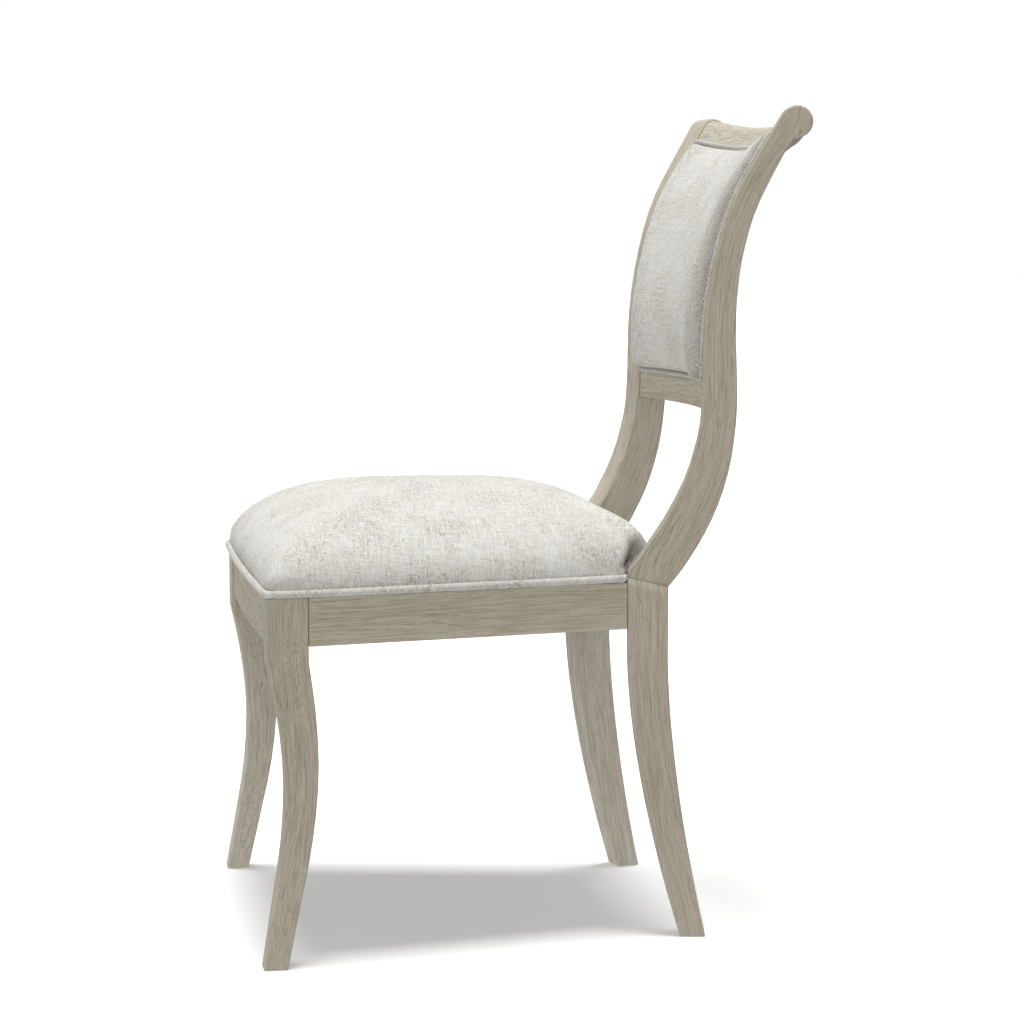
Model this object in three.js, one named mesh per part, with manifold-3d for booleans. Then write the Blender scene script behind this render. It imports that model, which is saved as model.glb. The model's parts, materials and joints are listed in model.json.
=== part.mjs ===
// A klismos dining chair: sabre legs, S-shaped back posts that end in scrolls, and an upholstered seat and back.
// Millimetres. The sitter faces -Y, +X is the sitter's left, +Z is up, and the floor is Z = 0.

import * as THREE from 'three';
import { mergeVertices } from 'three/addons/utils/BufferGeometryUtils.js';
import Module from 'manifold-3d';

const wasm = await Module();
wasm.setup();

const degree = Math.PI / 180;

// Fits
const seam = 0.3; // gap between two pieces that meet
const overrun = 4; // how far a cutting shape, or the root of a tenon, runs past a face
const edgeEase = 1.5; // flat taken off the long edges of the show wood
const weldDistance = 0.001;

// Seat frame
const frontWidth = 530; // over the outer faces of the front leg blocks
const sideRailLength = 380; // between the leg faces, along the outer face
const seatTaper = 11.7 * degree; // each side rail runs inward by this going back
const frameTop = 411;
const railHeight = 53.5;
const railThickness = 22;
const frontRailRecess = 3;
const frontBow = 5;
const rearRailSetback = 19; // rear rail's front face behind the front face of the rear leg
const tenonThickness = 10;
const tenonLength = 16;
const tenonShoulder = 6;
const rearTenonHeight = 23; // keeps the rail tenons below the post tenon

// Front legs
const frontBlockWidth = 38.5;
const frontBlockDepth = 46;
const frontBlockDrop = 17.5; // the square block ends this far below the rails
const frontFootWidth = 28;
const frontFootDepth = 26.7;
const frontLegHollow = 14.8; // how far the leg's middle stands behind its block
const frontFootFlare = 8; // how far the foot stands outside the block
const frontSweepShares = [[0, -1.11], [0.21, -0.18], [0.41, 0.65], [0.62, 1], [0.82, 0.69], [1, 0]];
const frontFlareShares = [[0, 1], [0.21, 0.37], [0.41, 0], [0.62, -0.1], [0.82, 0], [1, 0]];

// Rear legs, which lie in a plane turned outward going back
const sideTurn = 11.5 * degree;
const rearLegDepth = 46.6;
const rearLegThickness = 38;
const rearFootDepth = 29;
const rearFootThickness = 32;
const rearFootRake = 62; // how far the foot's front edge stands behind the leg's
const rearCurveDrop = 35.5; // the leg starts to curve this far below the rails
const jointRise = 6.5; // front edge of the slanted joint above the seat frame
const jointFall = 11.7; // from the joint's front edge to its back edge

// Back posts, in the same plane, over the rear legs
const kneeRise = 7; // height of the kink in the post's front edge above the joint
const scrollReach = 187.8; // scroll centre behind the front face of the rear leg
const scrollRise = 507; // scroll centre above the kink
const scrollRadius = 18.2;
const scrollStart = 150 * degree; // where the front edge runs into the scroll
const scrollEnd = -70 * degree; // where the scroll runs into the back edge
const postFrontShares = [
  [0, 0], [0.089, 0.04], [0.227, 0.117], [0.341, 0.199], [0.402, 0.267], [0.439, 0.33], [0.453, 0.419],
  [0.456, 0.494], [0.469, 0.575], [0.508, 0.669], [0.57, 0.764], [0.657, 0.851], [0.78, 0.932],
];
const postBackShares = [
  [0.985, 0.962], [0.95, 0.945], [0.888, 0.904], [0.764, 0.81], [0.701, 0.733], [0.664, 0.662],
  [0.6486, 0.589], [0.647, 0.5175], [0.655, 0.435], [0.6566, 0.385], [0.6486, 0.3237], [0.617, 0.2387],
  [0.5495, 0.152], [0.4585, 0.079], [0.3445, 0.0097],
];
const postTenonWidth = 24;
const postTenonThickness = 12;
const postTenonLength = 43;

// Rails of the back, which are bowed backward
const backBow = 27;
const backRailRecess = 3; // behind the front edges of the posts
const backRailThickness = 19;
const crestRollRadius = 15.2;
const crestDepth = 38.6; // from the scroll's centre down to the crest rail's lower edge
const lowerRailRise = 178; // lower rail's lower edge above the kink in the posts
const lowerRailHeight = 59.5;
const backTenonHeight = 22;
const backTenonThickness = 8;
const rebateDepth = 5; // in the rear of both rails, for the outside back
const crestRebateHeight = 14;
const lowerRebateHeight = 26;

// Seat upholstery
const seatWeltDiameter = 7.2;
const weltStandOut = 3.6; // how far the seat welt stands out from the leg blocks and rails
const coverThickness = 1.2;
const coverTurnUnder = 18;
const seatBoardThickness = 12;
const seatCrownHeight = 105; // crown of the seat above the seat frame
const seatCrownSetback = 228; // crown's place behind the front leg faces
const seatSide = 9; // height of the seat's upright edge
const seatBulgeShare = 0.019; // how far the seat swells out above its edge
const seatCornerRadius = 9;
const notchCornerRadius = 5;
const crownWidth = 358; // of the round form that the seat takes towards its crown
const crownDepth = 460;
const dustCoverThickness = 0.6;
const dustCoverMargin = 1;
const ventRadius = 14;
const ventPitch = 120;

// Back upholstery
const backWeltDiameter = 6.4;
const padUnderlap = 22; // of the pad on the lower rail
const padOverlap = 25; // of the pad on the crest rail
const padProud = 33.5; // how far the fullest part of the pad stands before its welt
const padEdgeShare = 0.5; // of the pad's fullness that is upright at its edge
const padThinningShare = 0.4; // of its fullness that the pad loses towards its top
const backBoardThickness = 6;
const outsideBoardThickness = 3;
const outsideWeltDiameter = 4.4;

// Corner blocks and fasteners
const frontBlockLeg = 66;
const rearBlockLeg = 82;
const blockHeight = 30;
const blockDrop = 4; // top of the blocks below the top of the rails
const screwHeadRadius = 4;
const screwHeadHeight = 2.6;
const screwRadius = 2;
const blockScrewLength = 26;
const blockScrewSeat = 12; // wood left under a block screw's head
const blockScrewStagger = 6; // the two screws of a block stand this far above and below its middle
const screwShares = { // along the legs of a block, from the corner between the rails
  front: { rail: 0.6, side: 0.6, seat: [0.43, 0.43] },
  rear: { rail: 0.25, side: 0.5, seat: [0.59, 0.16] }, // clear of the rear leg and the cover's turned edge
};
const seatScrewBite = 8; // into the seat board
const backScrewLength = 17;
const backScrewShare = 0.6; // across half the back
const screwSides = 8;

// Foot glides
const glideRadius = 8;
const glideThickness = 3.5;
const glideProud = 0.8;
const glidePinRadius = 1.4;
const glidePinLength = 12;
const glideSides = 12;

// Counts
const legSteps = 12;
const curveSteps = 26;
const scrollSteps = 12;
const bowSteps = 16;
const cornerSteps = 3;
const seatStep = 52; // spacing of the points along the seat's straight edges
const weltSides = 6;

// Materials, from the photograph
const oak = new THREE.MeshStandardMaterial({ color: 0xa39c8c, roughness: 0.75, metalness: 0 });
const linen = new THREE.MeshStandardMaterial({ color: 0xdcd9d1, roughness: 0.95, metalness: 0 });
const birchPly = new THREE.MeshStandardMaterial({ color: 0xc9ad80, roughness: 0.8, metalness: 0 });
const foam = new THREE.MeshStandardMaterial({ color: 0xe9dfb4, roughness: 1, metalness: 0 });
const cambric = new THREE.MeshStandardMaterial({ color: 0x26262a, roughness: 1, metalness: 0 });
const zinc = new THREE.MeshStandardMaterial({ color: 0xb9bcc0, roughness: 0.4, metalness: 1 });
const nylon = new THREE.MeshStandardMaterial({ color: 0x6b6256, roughness: 0.6, metalness: 0 });

// Worked-out places
const blockOuterX = frontWidth / 2;
const blockInnerX = blockOuterX - frontBlockWidth;
const rearLegX = blockOuterX - sideRailLength * Math.sin(seatTaper);
const rearLegY = frontBlockDepth + sideRailLength * Math.cos(seatTaper);
const railBottom = frameTop - railHeight;
const frontBlockBottom = railBottom - frontBlockDrop;
const rearRailFront = rearLegY + rearRailSetback;
const rearRailBack = rearRailFront + railThickness;
const rearCurveTop = railBottom - rearCurveDrop;
const jointFrontHeight = frameTop + jointRise;
const jointBackHeight = jointFrontHeight - jointFall;
const kneeHeight = jointFrontHeight + kneeRise;
const scrollHeight = kneeHeight + scrollRise;
const crestBottom = scrollHeight - crestDepth;
const lowerRailBottom = kneeHeight + lowerRailRise;
const lowerRailTop = lowerRailBottom + lowerRailHeight;
const padBottom = lowerRailTop - padUnderlap;
const padTop = crestBottom + padOverlap;
const seatCrown = frameTop + seatCrownHeight;

// Local frames of the left side. Local x points outward, local y back along the piece, and z up.
const chairFrame = new THREE.Matrix4();
const sideRailFrame = frameAt(blockOuterX, frontBlockDepth, seatTaper);
const legFrame = frameAt(rearLegX, rearLegY, -sideTurn);

function frameAt(x, y, turn) {
  return new THREE.Matrix4().makeRotationZ(turn).setPosition(x, y, 0);
}

// Solid helpers

function geometryFrom(points, faces) {
  const geometry = new THREE.BufferGeometry().setFromPoints(points);
  geometry.setIndex(faces.flat());
  return geometry;
}

function solidFrom(geometry) {
  const bare = geometry.clone();
  bare.deleteAttribute('normal');
  bare.deleteAttribute('uv');
  const merged = mergeVertices(bare, weldDistance);
  const triVerts = Uint32Array.from(merged.index.array);
  return new wasm.Manifold(new wasm.Mesh({
    numProp: 3,
    vertProperties: merged.attributes.position.array,
    triVerts,
  }));
}

function geometryOf(solid) {
  const mesh = solid.getMesh();
  const geometry = new THREE.BufferGeometry();
  geometry.setAttribute('position', new THREE.BufferAttribute(mesh.vertProperties, 3));
  geometry.setIndex(new THREE.BufferAttribute(mesh.triVerts, 1));
  return geometry;
}

function cut(body, ...tools) {
  return geometryOf(tools.reduce((solid, tool) => solid.subtract(solidFrom(tool)), solidFrom(body)));
}

function join(...bodies) {
  const [first, ...rest] = bodies.map(solidFrom);
  return geometryOf(rest.reduce((solid, next) => solid.add(next), first));
}

function common(body, other) {
  return geometryOf(solidFrom(body).intersect(solidFrom(other)));
}

// A geometry that is drawn in one frame, seen from another
function inFrame(geometry, from, to) {
  return geometry.clone().applyMatrix4(new THREE.Matrix4().copy(to).invert().multiply(from));
}

function mirrored(geometry) {
  const copy = geometry.index ? geometry.clone() : mergeVertices(geometry.clone());
  copy.applyMatrix4(new THREE.Matrix4().makeScale(-1, 1, 1));
  const index = copy.index.array;
  for (let i = 0; i < index.length; i += 3) [index[i + 1], index[i + 2]] = [index[i + 2], index[i + 1]];
  return copy;
}

function box(x0, x1, y0, y1, z0, z1) {
  const geometry = new THREE.BoxGeometry(x1 - x0, y1 - y0, z1 - z0);
  return geometry.translate((x0 + x1) / 2, (y0 + y1) / 2, (z0 + z1) / 2);
}

// A flat outline in plan, raised from z0 to z1
function raised(outline, z0, z1) {
  const shape = new THREE.Shape(outline);
  return new THREE.ExtrudeGeometry(shape, { depth: z1 - z0, bevelEnabled: false }).translate(0, 0, z0);
}

// Rings of points joined into a closed body. Both ends are flat outlines, or the last one is a point.
function loft(rings, tip) {
  const count = rings[0].length;
  const faces = [];
  rings.slice(1).forEach((ring, k) => {
    for (let i = 0; i < count; i += 1) {
      const next = (i + 1) % count;
      const low = k * count;
      const high = low + count;
      faces.push([low + i, low + next, high + next], [low + i, high + next, high + i]);
    }
  });
  const cap = (ring) => THREE.ShapeUtils.triangulateShape(ring.map((p) => new THREE.Vector2(p.x, p.y)), []);
  cap(rings[0]).forEach(([a, b, c]) => faces.push([a, c, b]));
  const top = (rings.length - 1) * count;
  const points = rings.flat();
  if (tip) {
    points.push(tip);
    for (let i = 0; i < count; i += 1) faces.push([top + i, top + ((i + 1) % count), points.length - 1]);
  } else {
    cap(rings.at(-1)).forEach(([a, b, c]) => faces.push([top + a, top + b, top + c]));
  }
  return geometryFrom(points, faces);
}

// A rectangle with eased corners, in plan, with a height for its front and for its back
function sectionRing(inner, outer, front, back, frontHeight, backHeight) {
  const e = edgeEase;
  const corners = [
    [inner + e, front], [outer - e, front], [outer, front + e], [outer, back - e],
    [outer - e, back], [inner + e, back], [inner, back - e], [inner, front + e],
  ];
  return corners.map(([x, y]) => {
    const share = (y - front) / (back - front);
    return new THREE.Vector3(x, y, frontHeight + (backHeight - frontHeight) * share);
  });
}

function shareCurve(shares) {
  const curve = new THREE.SplineCurve(shares.map(([s, v]) => new THREE.Vector2(s, v)));
  return (s) => curve.getPoint(curveParameter(curve, 'x', s)).y;
}

// The parameter at which a curve that only rises along an axis reaches a value
function curveParameter(curve, axis, value) {
  let low = 0;
  let high = 1;
  for (let i = 0; i < 40; i += 1) {
    const middle = (low + high) / 2;
    if (curve.getPoint(middle)[axis] < value) low = middle;
    else high = middle;
  }
  return (low + high) / 2;
}

// Foot glides and screws

function glideGeometry(grow) {
  const r = glideRadius + grow;
  const profile = [
    [0, -grow * 10], [r - edgeEase / 2, -grow * 10], [r, edgeEase / 2], [r, glideThickness + grow],
    [glidePinRadius + grow, glideThickness + grow], [glidePinRadius + grow, glidePinLength],
    [0, glidePinLength + glidePinRadius * 2 + grow],
  ];
  return revolved(profile, glideSides);
}

function revolved(profile, sides) {
  const points = profile.map(([r, z]) => new THREE.Vector2(r, z));
  return new THREE.LatheGeometry(points, sides).rotateX(Math.PI / 2);
}

// A screw that points down, with the underside of its head at z = 0
function screwGeometry(length) {
  return revolved([
    [0, -length], [screwRadius, -length + screwRadius * 3], [screwRadius, 0], [screwHeadRadius, 0],
    [screwHeadRadius * 0.8, screwHeadHeight * 0.7], [0, screwHeadHeight],
  ], screwSides);
}

function screwHole(length, countersink) {
  return revolved([
    [0, -length - seam], [screwRadius + seam, -length - seam], [screwRadius + seam, -seam],
    [screwHeadRadius + seam * 2, -seam], [screwHeadRadius + seam * 2, countersink], [0, countersink],
  ], screwSides);
}

function pointing(geometry, place, direction) {
  const down = new THREE.Vector3(0, 0, -1);
  const turn = new THREE.Quaternion().setFromUnitVectors(down, direction.clone().normalize());
  const frame = new THREE.Matrix4().makeRotationFromQuaternion(turn).setPosition(place);
  return geometry.clone().applyMatrix4(frame);
}

// Front leg, in the chair's frame

const frontSweep = shareCurve(frontSweepShares);
const frontFlare = shareCurve(frontFlareShares);

function frontLegRing(share) {
  const depth = frontFootDepth + (frontBlockDepth - frontFootDepth) * (share + share * share) / 2;
  const width = frontFootWidth + (frontBlockWidth - frontFootWidth) * (1 - (1 - share) ** 3);
  const middle = frontBlockDepth / 2 + frontLegHollow * frontSweep(share);
  const outer = blockOuterX + frontFootFlare * frontFlare(share);
  const height = glideProud + (frontBlockBottom - glideProud) * share;
  return sectionRing(outer - width, outer, middle - depth / 2, middle + depth / 2, height, height);
}

const frontFootX = blockOuterX + frontFootFlare - frontFootWidth / 2;
const frontFootY = frontBlockDepth / 2 + frontLegHollow * frontSweep(0);

function frontLegGeometry() {
  const rings = [];
  for (let k = 0; k <= legSteps; k += 1) rings.push(frontLegRing(k / legSteps));
  rings.push(sectionRing(blockInnerX, blockOuterX, 0, frontBlockDepth, frameTop, frameTop));
  return cut(
    loft(rings),
    inFrame(sideTenon(seam).front, sideRailFrame, chairFrame),
    frontTenon(seam),
    glideGeometry(seam).translate(frontFootX, frontFootY, 0),
  );
}

// Side rail, in its own frame: its outer face is x = 0, and it runs from the front leg at y = 0

function sideRailEnd(x) {
  return (seam - x * Math.sin(seatTaper)) / Math.cos(seatTaper);
}

function sideRailStop(x) {
  const bend = seatTaper + sideTurn;
  return sideRailLength - (seam + x * Math.sin(bend)) / Math.cos(bend);
}

function sideTenon(grow) {
  const outer = (tenonThickness - railThickness) / 2 + grow;
  const inner = outer - tenonThickness - grow * 2;
  const low = railBottom + tenonShoulder - grow;
  const frontHigh = frameTop - tenonShoulder + grow;
  const rearHigh = low + rearTenonHeight + grow * 2;
  const root = overrun * 2;
  return {
    front: box(inner, outer, -tenonLength - grow, root, low, frontHigh),
    rear: box(inner, outer, sideRailStop(outer) - root, sideRailStop(outer) + tenonLength + grow, low, rearHigh),
  };
}

function sideRailGeometry() {
  const outline = [
    [0, sideRailEnd(0)], [0, sideRailStop(0)],
    [-railThickness, sideRailStop(-railThickness)], [-railThickness, sideRailEnd(-railThickness)],
  ].map(([x, y]) => new THREE.Vector2(x, y));
  const tenons = sideTenon(0);
  const screws = blockScrewPlaces.filter((s) => s.rail === 'side').map((s) => inFrame(s.hole, chairFrame, sideRailFrame));
  return cut(join(raised(outline, railBottom, frameTop), tenons.front, tenons.rear), ...screws);
}

// Front rail, in the chair's frame, bowed forward between the blocks

const frontRailFace = frontRailRecess;
const frontRailBack = frontRailFace + railThickness;

function frontTenon(grow) {
  const low = railBottom + tenonShoulder - grow;
  const high = frameTop - tenonShoulder + grow;
  const front = frontRailFace + (railThickness - tenonThickness) / 2 - grow;
  const root = blockInnerX - overrun * 2;
  const tip = blockInnerX + tenonLength + grow;
  return box(root, tip, front, front + tenonThickness + grow * 2, low, high);
}

function frontRailGeometry() {
  const end = blockInnerX - seam;
  const outline = [new THREE.Vector2(end, frontRailBack)];
  for (let k = 0; k <= bowSteps; k += 1) {
    const across = 1 - (2 * k) / bowSteps;
    outline.push(new THREE.Vector2(end * across, frontRailFace - frontBow * (1 - across * across)));
  }
  outline.push(new THREE.Vector2(-end, frontRailBack));
  const screws = blockScrewPlaces.filter((s) => s.rail === 'front').map((s) => s.hole);
  return cut(
    join(raised(outline, railBottom, frameTop), frontTenon(0), mirrored(frontTenon(0))),
    ...screws,
    ...screws.map(mirrored),
  );
}

// Rear rail, in the chair's frame, square to it and cut at both ends to the legs' inner faces

function legInnerX(y) {
  const along = (y - rearLegY - rearLegThickness * Math.sin(sideTurn)) / Math.cos(sideTurn);
  return rearLegX + along * Math.sin(sideTurn) - rearLegThickness * Math.cos(sideTurn);
}

function rearTenon(grow) {
  const front = rearRailFront + (railThickness - tenonThickness) / 2 - grow;
  const low = railBottom + tenonShoulder - grow;
  const x = legInnerX(front);
  const root = x - overrun * 3;
  return box(root, x + tenonLength + grow, front, front + tenonThickness + grow * 2, low, low + rearTenonHeight + grow * 2);
}

function rearRailGeometry() {
  const gap = seam / Math.cos(sideTurn);
  const frontEnd = legInnerX(rearRailFront) - gap;
  const backEnd = legInnerX(rearRailBack) - gap;
  const outline = [
    [-frontEnd, rearRailFront], [frontEnd, rearRailFront], [backEnd, rearRailBack], [-backEnd, rearRailBack],
  ].map(([x, y]) => new THREE.Vector2(x, y));
  const screws = blockScrewPlaces.filter((s) => s.rail === 'rear').map((s) => s.hole);
  return cut(
    join(raised(outline, railBottom, frameTop), rearTenon(0), mirrored(rearTenon(0))),
    ...screws,
    ...screws.map(mirrored),
  );
}

// Rear leg, in its own frame: its outer face is x = 0 and its front edge at the rail is y = 0

function rearLegRing(share, topFront, topBack) {
  const fall = 1 - share;
  const front = rearFootRake * fall ** 1.62;
  const depth = rearLegDepth - (rearLegDepth - rearFootDepth) * fall ** 1.6;
  const thickness = rearLegThickness - (rearLegThickness - rearFootThickness) * fall;
  return sectionRing(-thickness, 0, front, front + depth, topFront, topBack);
}

function rearLegGeometry() {
  const rings = [];
  for (let k = 0; k <= legSteps; k += 1) {
    const share = k / legSteps;
    const height = glideProud + (rearCurveTop - glideProud) * share;
    rings.push(rearLegRing(share, height, height));
  }
  rings.push(rearLegRing(1, jointFrontHeight, jointBackHeight));
  const side = sideTenon(seam);
  return cut(
    loft(rings),
    inFrame(side.rear, sideRailFrame, legFrame),
    inFrame(rearTenon(seam), chairFrame, legFrame),
    postTenon(seam),
    glideGeometry(seam).translate(-rearFootThickness / 2, rearFootRake + rearFootDepth / 2, 0),
  );
}

// Loose tenon across the slanted joint between leg and post

const jointSlope = Math.atan2(jointFrontHeight - jointBackHeight, rearLegDepth);

function postTenon(grow) {
  const shape = new THREE.Shape();
  const w = postTenonWidth / 2 - postTenonThickness / 2;
  const r = postTenonThickness / 2 + grow;
  shape.absarc(0, w, r, 0, Math.PI, false);
  shape.absarc(0, -w, r, Math.PI, Math.PI * 2, false);
  const length = postTenonLength + grow * 2;
  const geometry = new THREE.ExtrudeGeometry(shape, { depth: length, bevelEnabled: false, curveSegments: 5 });
  const middle = (jointFrontHeight + jointBackHeight) / 2;
  return geometry.translate(0, 0, -length / 2).rotateX(-jointSlope)
    .translate(-rearLegThickness / 2, rearLegDepth / 2, middle);
}

// Back post, in the rear leg's frame

function postPoint([reachShare, riseShare]) {
  return new THREE.Vector2(reachShare * scrollReach, kneeHeight + riseShare * scrollRise);
}

function scrollPoint(angle, radius) {
  return new THREE.Vector2(scrollReach + radius * Math.cos(angle), scrollHeight + radius * Math.sin(angle));
}

const postFront = new THREE.SplineCurve([...postFrontShares.map(postPoint), scrollPoint(scrollStart, scrollRadius)]);
const postBack = new THREE.SplineCurve([
  scrollPoint(scrollEnd, scrollRadius),
  ...postBackShares.map(postPoint),
  new THREE.Vector2(rearLegDepth, jointBackHeight),
]);

function scrollArc(radius) {
  const points = [];
  for (let k = 1; k < scrollSteps; k += 1) {
    points.push(scrollPoint(scrollStart + (scrollEnd - scrollStart) * (k / scrollSteps), radius));
  }
  return points;
}

// An outline drawn in y and z, given a thickness that runs inward from x = 0
function sidePlate(outline, thickness, ease) {
  const shape = new THREE.Shape(outline);
  const geometry = new THREE.ExtrudeGeometry(shape, {
    depth: thickness - ease * 2,
    bevelEnabled: ease > 0,
    bevelSize: ease,
    bevelThickness: ease,
    bevelOffset: -ease,
    bevelSegments: 1,
  });
  return geometry.translate(0, 0, ease - thickness).applyMatrix4(
    new THREE.Matrix4().makeBasis(new THREE.Vector3(0, 1, 0), new THREE.Vector3(0, 0, 1), new THREE.Vector3(1, 0, 0)),
  );
}

function postGeometry() {
  const foot = overrun * 2;
  const outline = [
    new THREE.Vector2(0, jointFrontHeight - foot),
    ...postFront.getPoints(curveSteps),
    ...scrollArc(scrollRadius),
    ...postBack.getPoints(curveSteps + scrollSteps),
    new THREE.Vector2(rearLegDepth, jointBackHeight - foot),
  ];
  const plate = sidePlate(outline, rearLegThickness, edgeEase);
  const below = box(-rearLegThickness - foot, foot, -foot, rearLegDepth + foot, -railHeight, seam);
  const slope = new THREE.Matrix4().makeRotationX(-jointSlope).setPosition(0, 0, jointFrontHeight);
  return cut(
    plate,
    below.applyMatrix4(slope),
    postTenon(seam),
    crestTenon(seam),
    lowerTenon(seam),
  );
}

// The front of the back at a height: place and lean of the posts' front edge
function frontAt(height) {
  const t = curveParameter(postFront, 'y', height);
  const tangent = postFront.getTangent(t);
  return { reach: postFront.getPoint(t).x, height, lean: Math.atan2(tangent.x, tangent.y) };
}

// A point of the leg frame's y-z plane, carried across the back, and bowed backward square to the lean.
// Across is 1 at the left side and -1 at the right, and inset is the space that is left to the posts' faces.
function backPoint({ reach, height, lean }, across, inset) {
  const faceX = rearLegX + reach * Math.sin(sideTurn) - rearLegThickness * Math.cos(sideTurn);
  const y = rearLegY + reach * Math.cos(sideTurn) + rearLegThickness * Math.sin(sideTurn);
  const x = (faceX - inset) * across;
  const bow = backBow * (1 - (x / faceX) ** 2);
  return new THREE.Vector3(x, y + bow * Math.cos(lean), height - bow * Math.sin(lean));
}

// A point at a depth behind the posts' front edge
function behind(front, depth) {
  return {
    reach: front.reach + depth * Math.cos(front.lean),
    height: front.height - depth * Math.sin(front.lean),
    lean: front.lean,
  };
}

// A closed section carried across the back from post to post
function acrossBack(section) {
  const rings = [];
  for (let k = 0; k <= bowSteps; k += 1) {
    const across = -1 + (2 * k) / bowSteps;
    rings.push(section.map((point) => backPoint(point, across, seam)));
  }
  const count = section.length;
  const faces = [];
  for (let k = 0; k < bowSteps; k += 1) {
    for (let i = 0; i < count; i += 1) {
      const next = (i + 1) % count;
      const low = k * count;
      faces.push([low + i, low + count + i, low + count + next], [low + i, low + count + next, low + next]);
    }
  }
  const flat = section.map((p) => new THREE.Vector2(p.reach, p.height));
  const ends = THREE.ShapeUtils.triangulateShape(flat, []);
  const last = bowSteps * count;
  ends.forEach(([a, b, c]) => faces.push([a, c, b], [last + a, last + b, last + c]));
  return geometryFrom(rings.flat(), faces);
}

// A tenon on the end of a rail of the back, in the rear leg's frame
function backTenon(height, grow) {
  const centre = behind(frontAt(height), backRailRecess + backRailThickness / 2);
  const h = backTenonHeight / 2 + grow;
  const t = backTenonThickness / 2 + grow;
  return box(-rearLegThickness - overrun, -rearLegThickness + tenonLength + grow, -t, t, -h, h)
    .rotateX(-centre.lean)
    .translate(0, centre.reach, centre.height);
}

function crestTenon(grow) {
  return backTenon(crestBottom + backTenonHeight, grow);
}

function lowerTenon(grow) {
  return backTenon((lowerRailBottom + lowerRailTop) / 2, grow);
}

function withTenons(rail, tenon) {
  const left = inFrame(tenon, legFrame, chairFrame);
  return join(rail, left, mirrored(left));
}

// Crest rail: a board that ends in a roll, with a rebate at the rear for the outside back

function crestGeometry() {
  const low = frontAt(crestBottom);
  const lean = frontAt(padTop).lean;
  const front = [crestBottom, (crestBottom + padTop) / 2, padTop].map((h) => behind(frontAt(h), backRailRecess));
  const rollPoint = (angle) => {
    const p = scrollPoint(angle, crestRollRadius);
    return { reach: p.x, height: p.y, lean };
  };
  const roll = [];
  for (let k = 0; k <= scrollSteps; k += 1) {
    roll.push(rollPoint(scrollStart + (scrollEnd - scrollStart) * (k / scrollSteps)));
  }
  const rebateTop = frontAt(crestBottom + crestRebateHeight);
  const section = [
    ...front,
    ...roll,
    { ...behind(frontAt(crestBottom + backTenonHeight), backRailRecess + backRailThickness), lean },
    behind(rebateTop, backRailRecess + backRailThickness),
    behind(rebateTop, backRailRecess + backRailThickness - rebateDepth),
    behind(low, backRailRecess + backRailThickness - rebateDepth),
  ];
  return cut(
    withTenons(acrossBack(section), crestTenon(0)),
    ...backScrews.filter((s) => s.rail === 'crest').map((s) => s.hole),
  );
}

const lowerFaceShares = [0, 0.4, 0.75, 1];

function lowerRailGeometry() {
  const low = frontAt(lowerRailBottom);
  const high = frontAt(lowerRailTop);
  const rebateStart = frontAt(lowerRailTop - lowerRebateHeight);
  const back = backRailRecess + backRailThickness;
  const face = lowerFaceShares.map((s) => frontAt(lowerRailBottom + (lowerRailTop - lowerRailBottom) * s));
  const section = [
    ...face.map((front) => behind(front, backRailRecess)),
    behind(high, back - rebateDepth),
    behind(rebateStart, back - rebateDepth),
    behind(rebateStart, back),
    behind(low, back),
  ];
  return cut(
    withTenons(acrossBack(section), lowerTenon(0)),
    ...backScrews.filter((s) => s.rail === 'lower').map((s) => s.hole),
  );
}

// Corner blocks, in the chair's frame

function sideInnerPoint(y) {
  const along = (y - frontBlockDepth + (railThickness + seam) * Math.sin(seatTaper)) / Math.cos(seatTaper);
  return new THREE.Vector3(
    blockOuterX - along * Math.sin(seatTaper) - (railThickness + seam) * Math.cos(seatTaper), y, 0,
  );
}

const alongSide = new THREE.Vector3(-Math.sin(seatTaper), Math.cos(seatTaper), 0);
const inward = new THREE.Vector3(-1, 0, 0);
const blockTop = frameTop - blockDrop;
const blockBottom = blockTop - blockHeight;
const blockMiddle = (blockTop + blockBottom) / 2;

const sideSquare = new THREE.Vector3(Math.cos(seatTaper), Math.sin(seatTaper), 0);
const corners = {
  front: {
    at: sideInnerPoint(frontRailBack + seam),
    side: alongSide,
    leg: frontBlockLeg,
    railSquare: new THREE.Vector3(0, -1, 0),
    shares: screwShares.front,
  },
  rear: {
    at: sideInnerPoint(rearRailFront - seam),
    side: alongSide.clone().negate(),
    leg: rearBlockLeg,
    railSquare: new THREE.Vector3(0, 1, 0),
    shares: screwShares.rear,
  },
};

function cornerPoint(corner, acrossShare, sideShare, z) {
  return corner.at.clone()
    .addScaledVector(inward, acrossShare * corner.leg)
    .addScaledVector(corner.side, sideShare * corner.leg)
    .setZ(z);
}

// A screw through a corner block, square to the rail that it bites into
function blockScrew(name, rail) {
  const corner = corners[name];
  const intoSide = rail === 'side';
  const direction = intoSide ? sideSquare : corner.railSquare;
  const height = blockMiddle + (intoSide ? blockScrewStagger : -blockScrewStagger);
  const seat = cornerPoint(corner, intoSide ? 0 : corner.shares.rail, intoSide ? corner.shares.side : 0, height)
    .addScaledVector(direction, -blockScrewSeat);
  return {
    corner: name,
    rail,
    body: pointing(screwGeometry(blockScrewLength), seat, direction),
    hole: pointing(screwHole(blockScrewLength, corner.leg / 2), seat, direction),
  };
}

const blockScrewPlaces = [
  blockScrew('front', 'front'),
  blockScrew('front', 'side'),
  blockScrew('rear', 'rear'),
  blockScrew('rear', 'side'),
];

const seatBoardBottom = frameTop + coverThickness + seam * 2;
const seatScrewLength = blockHeight + (seatBoardBottom - blockTop) + seatScrewBite;

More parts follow.
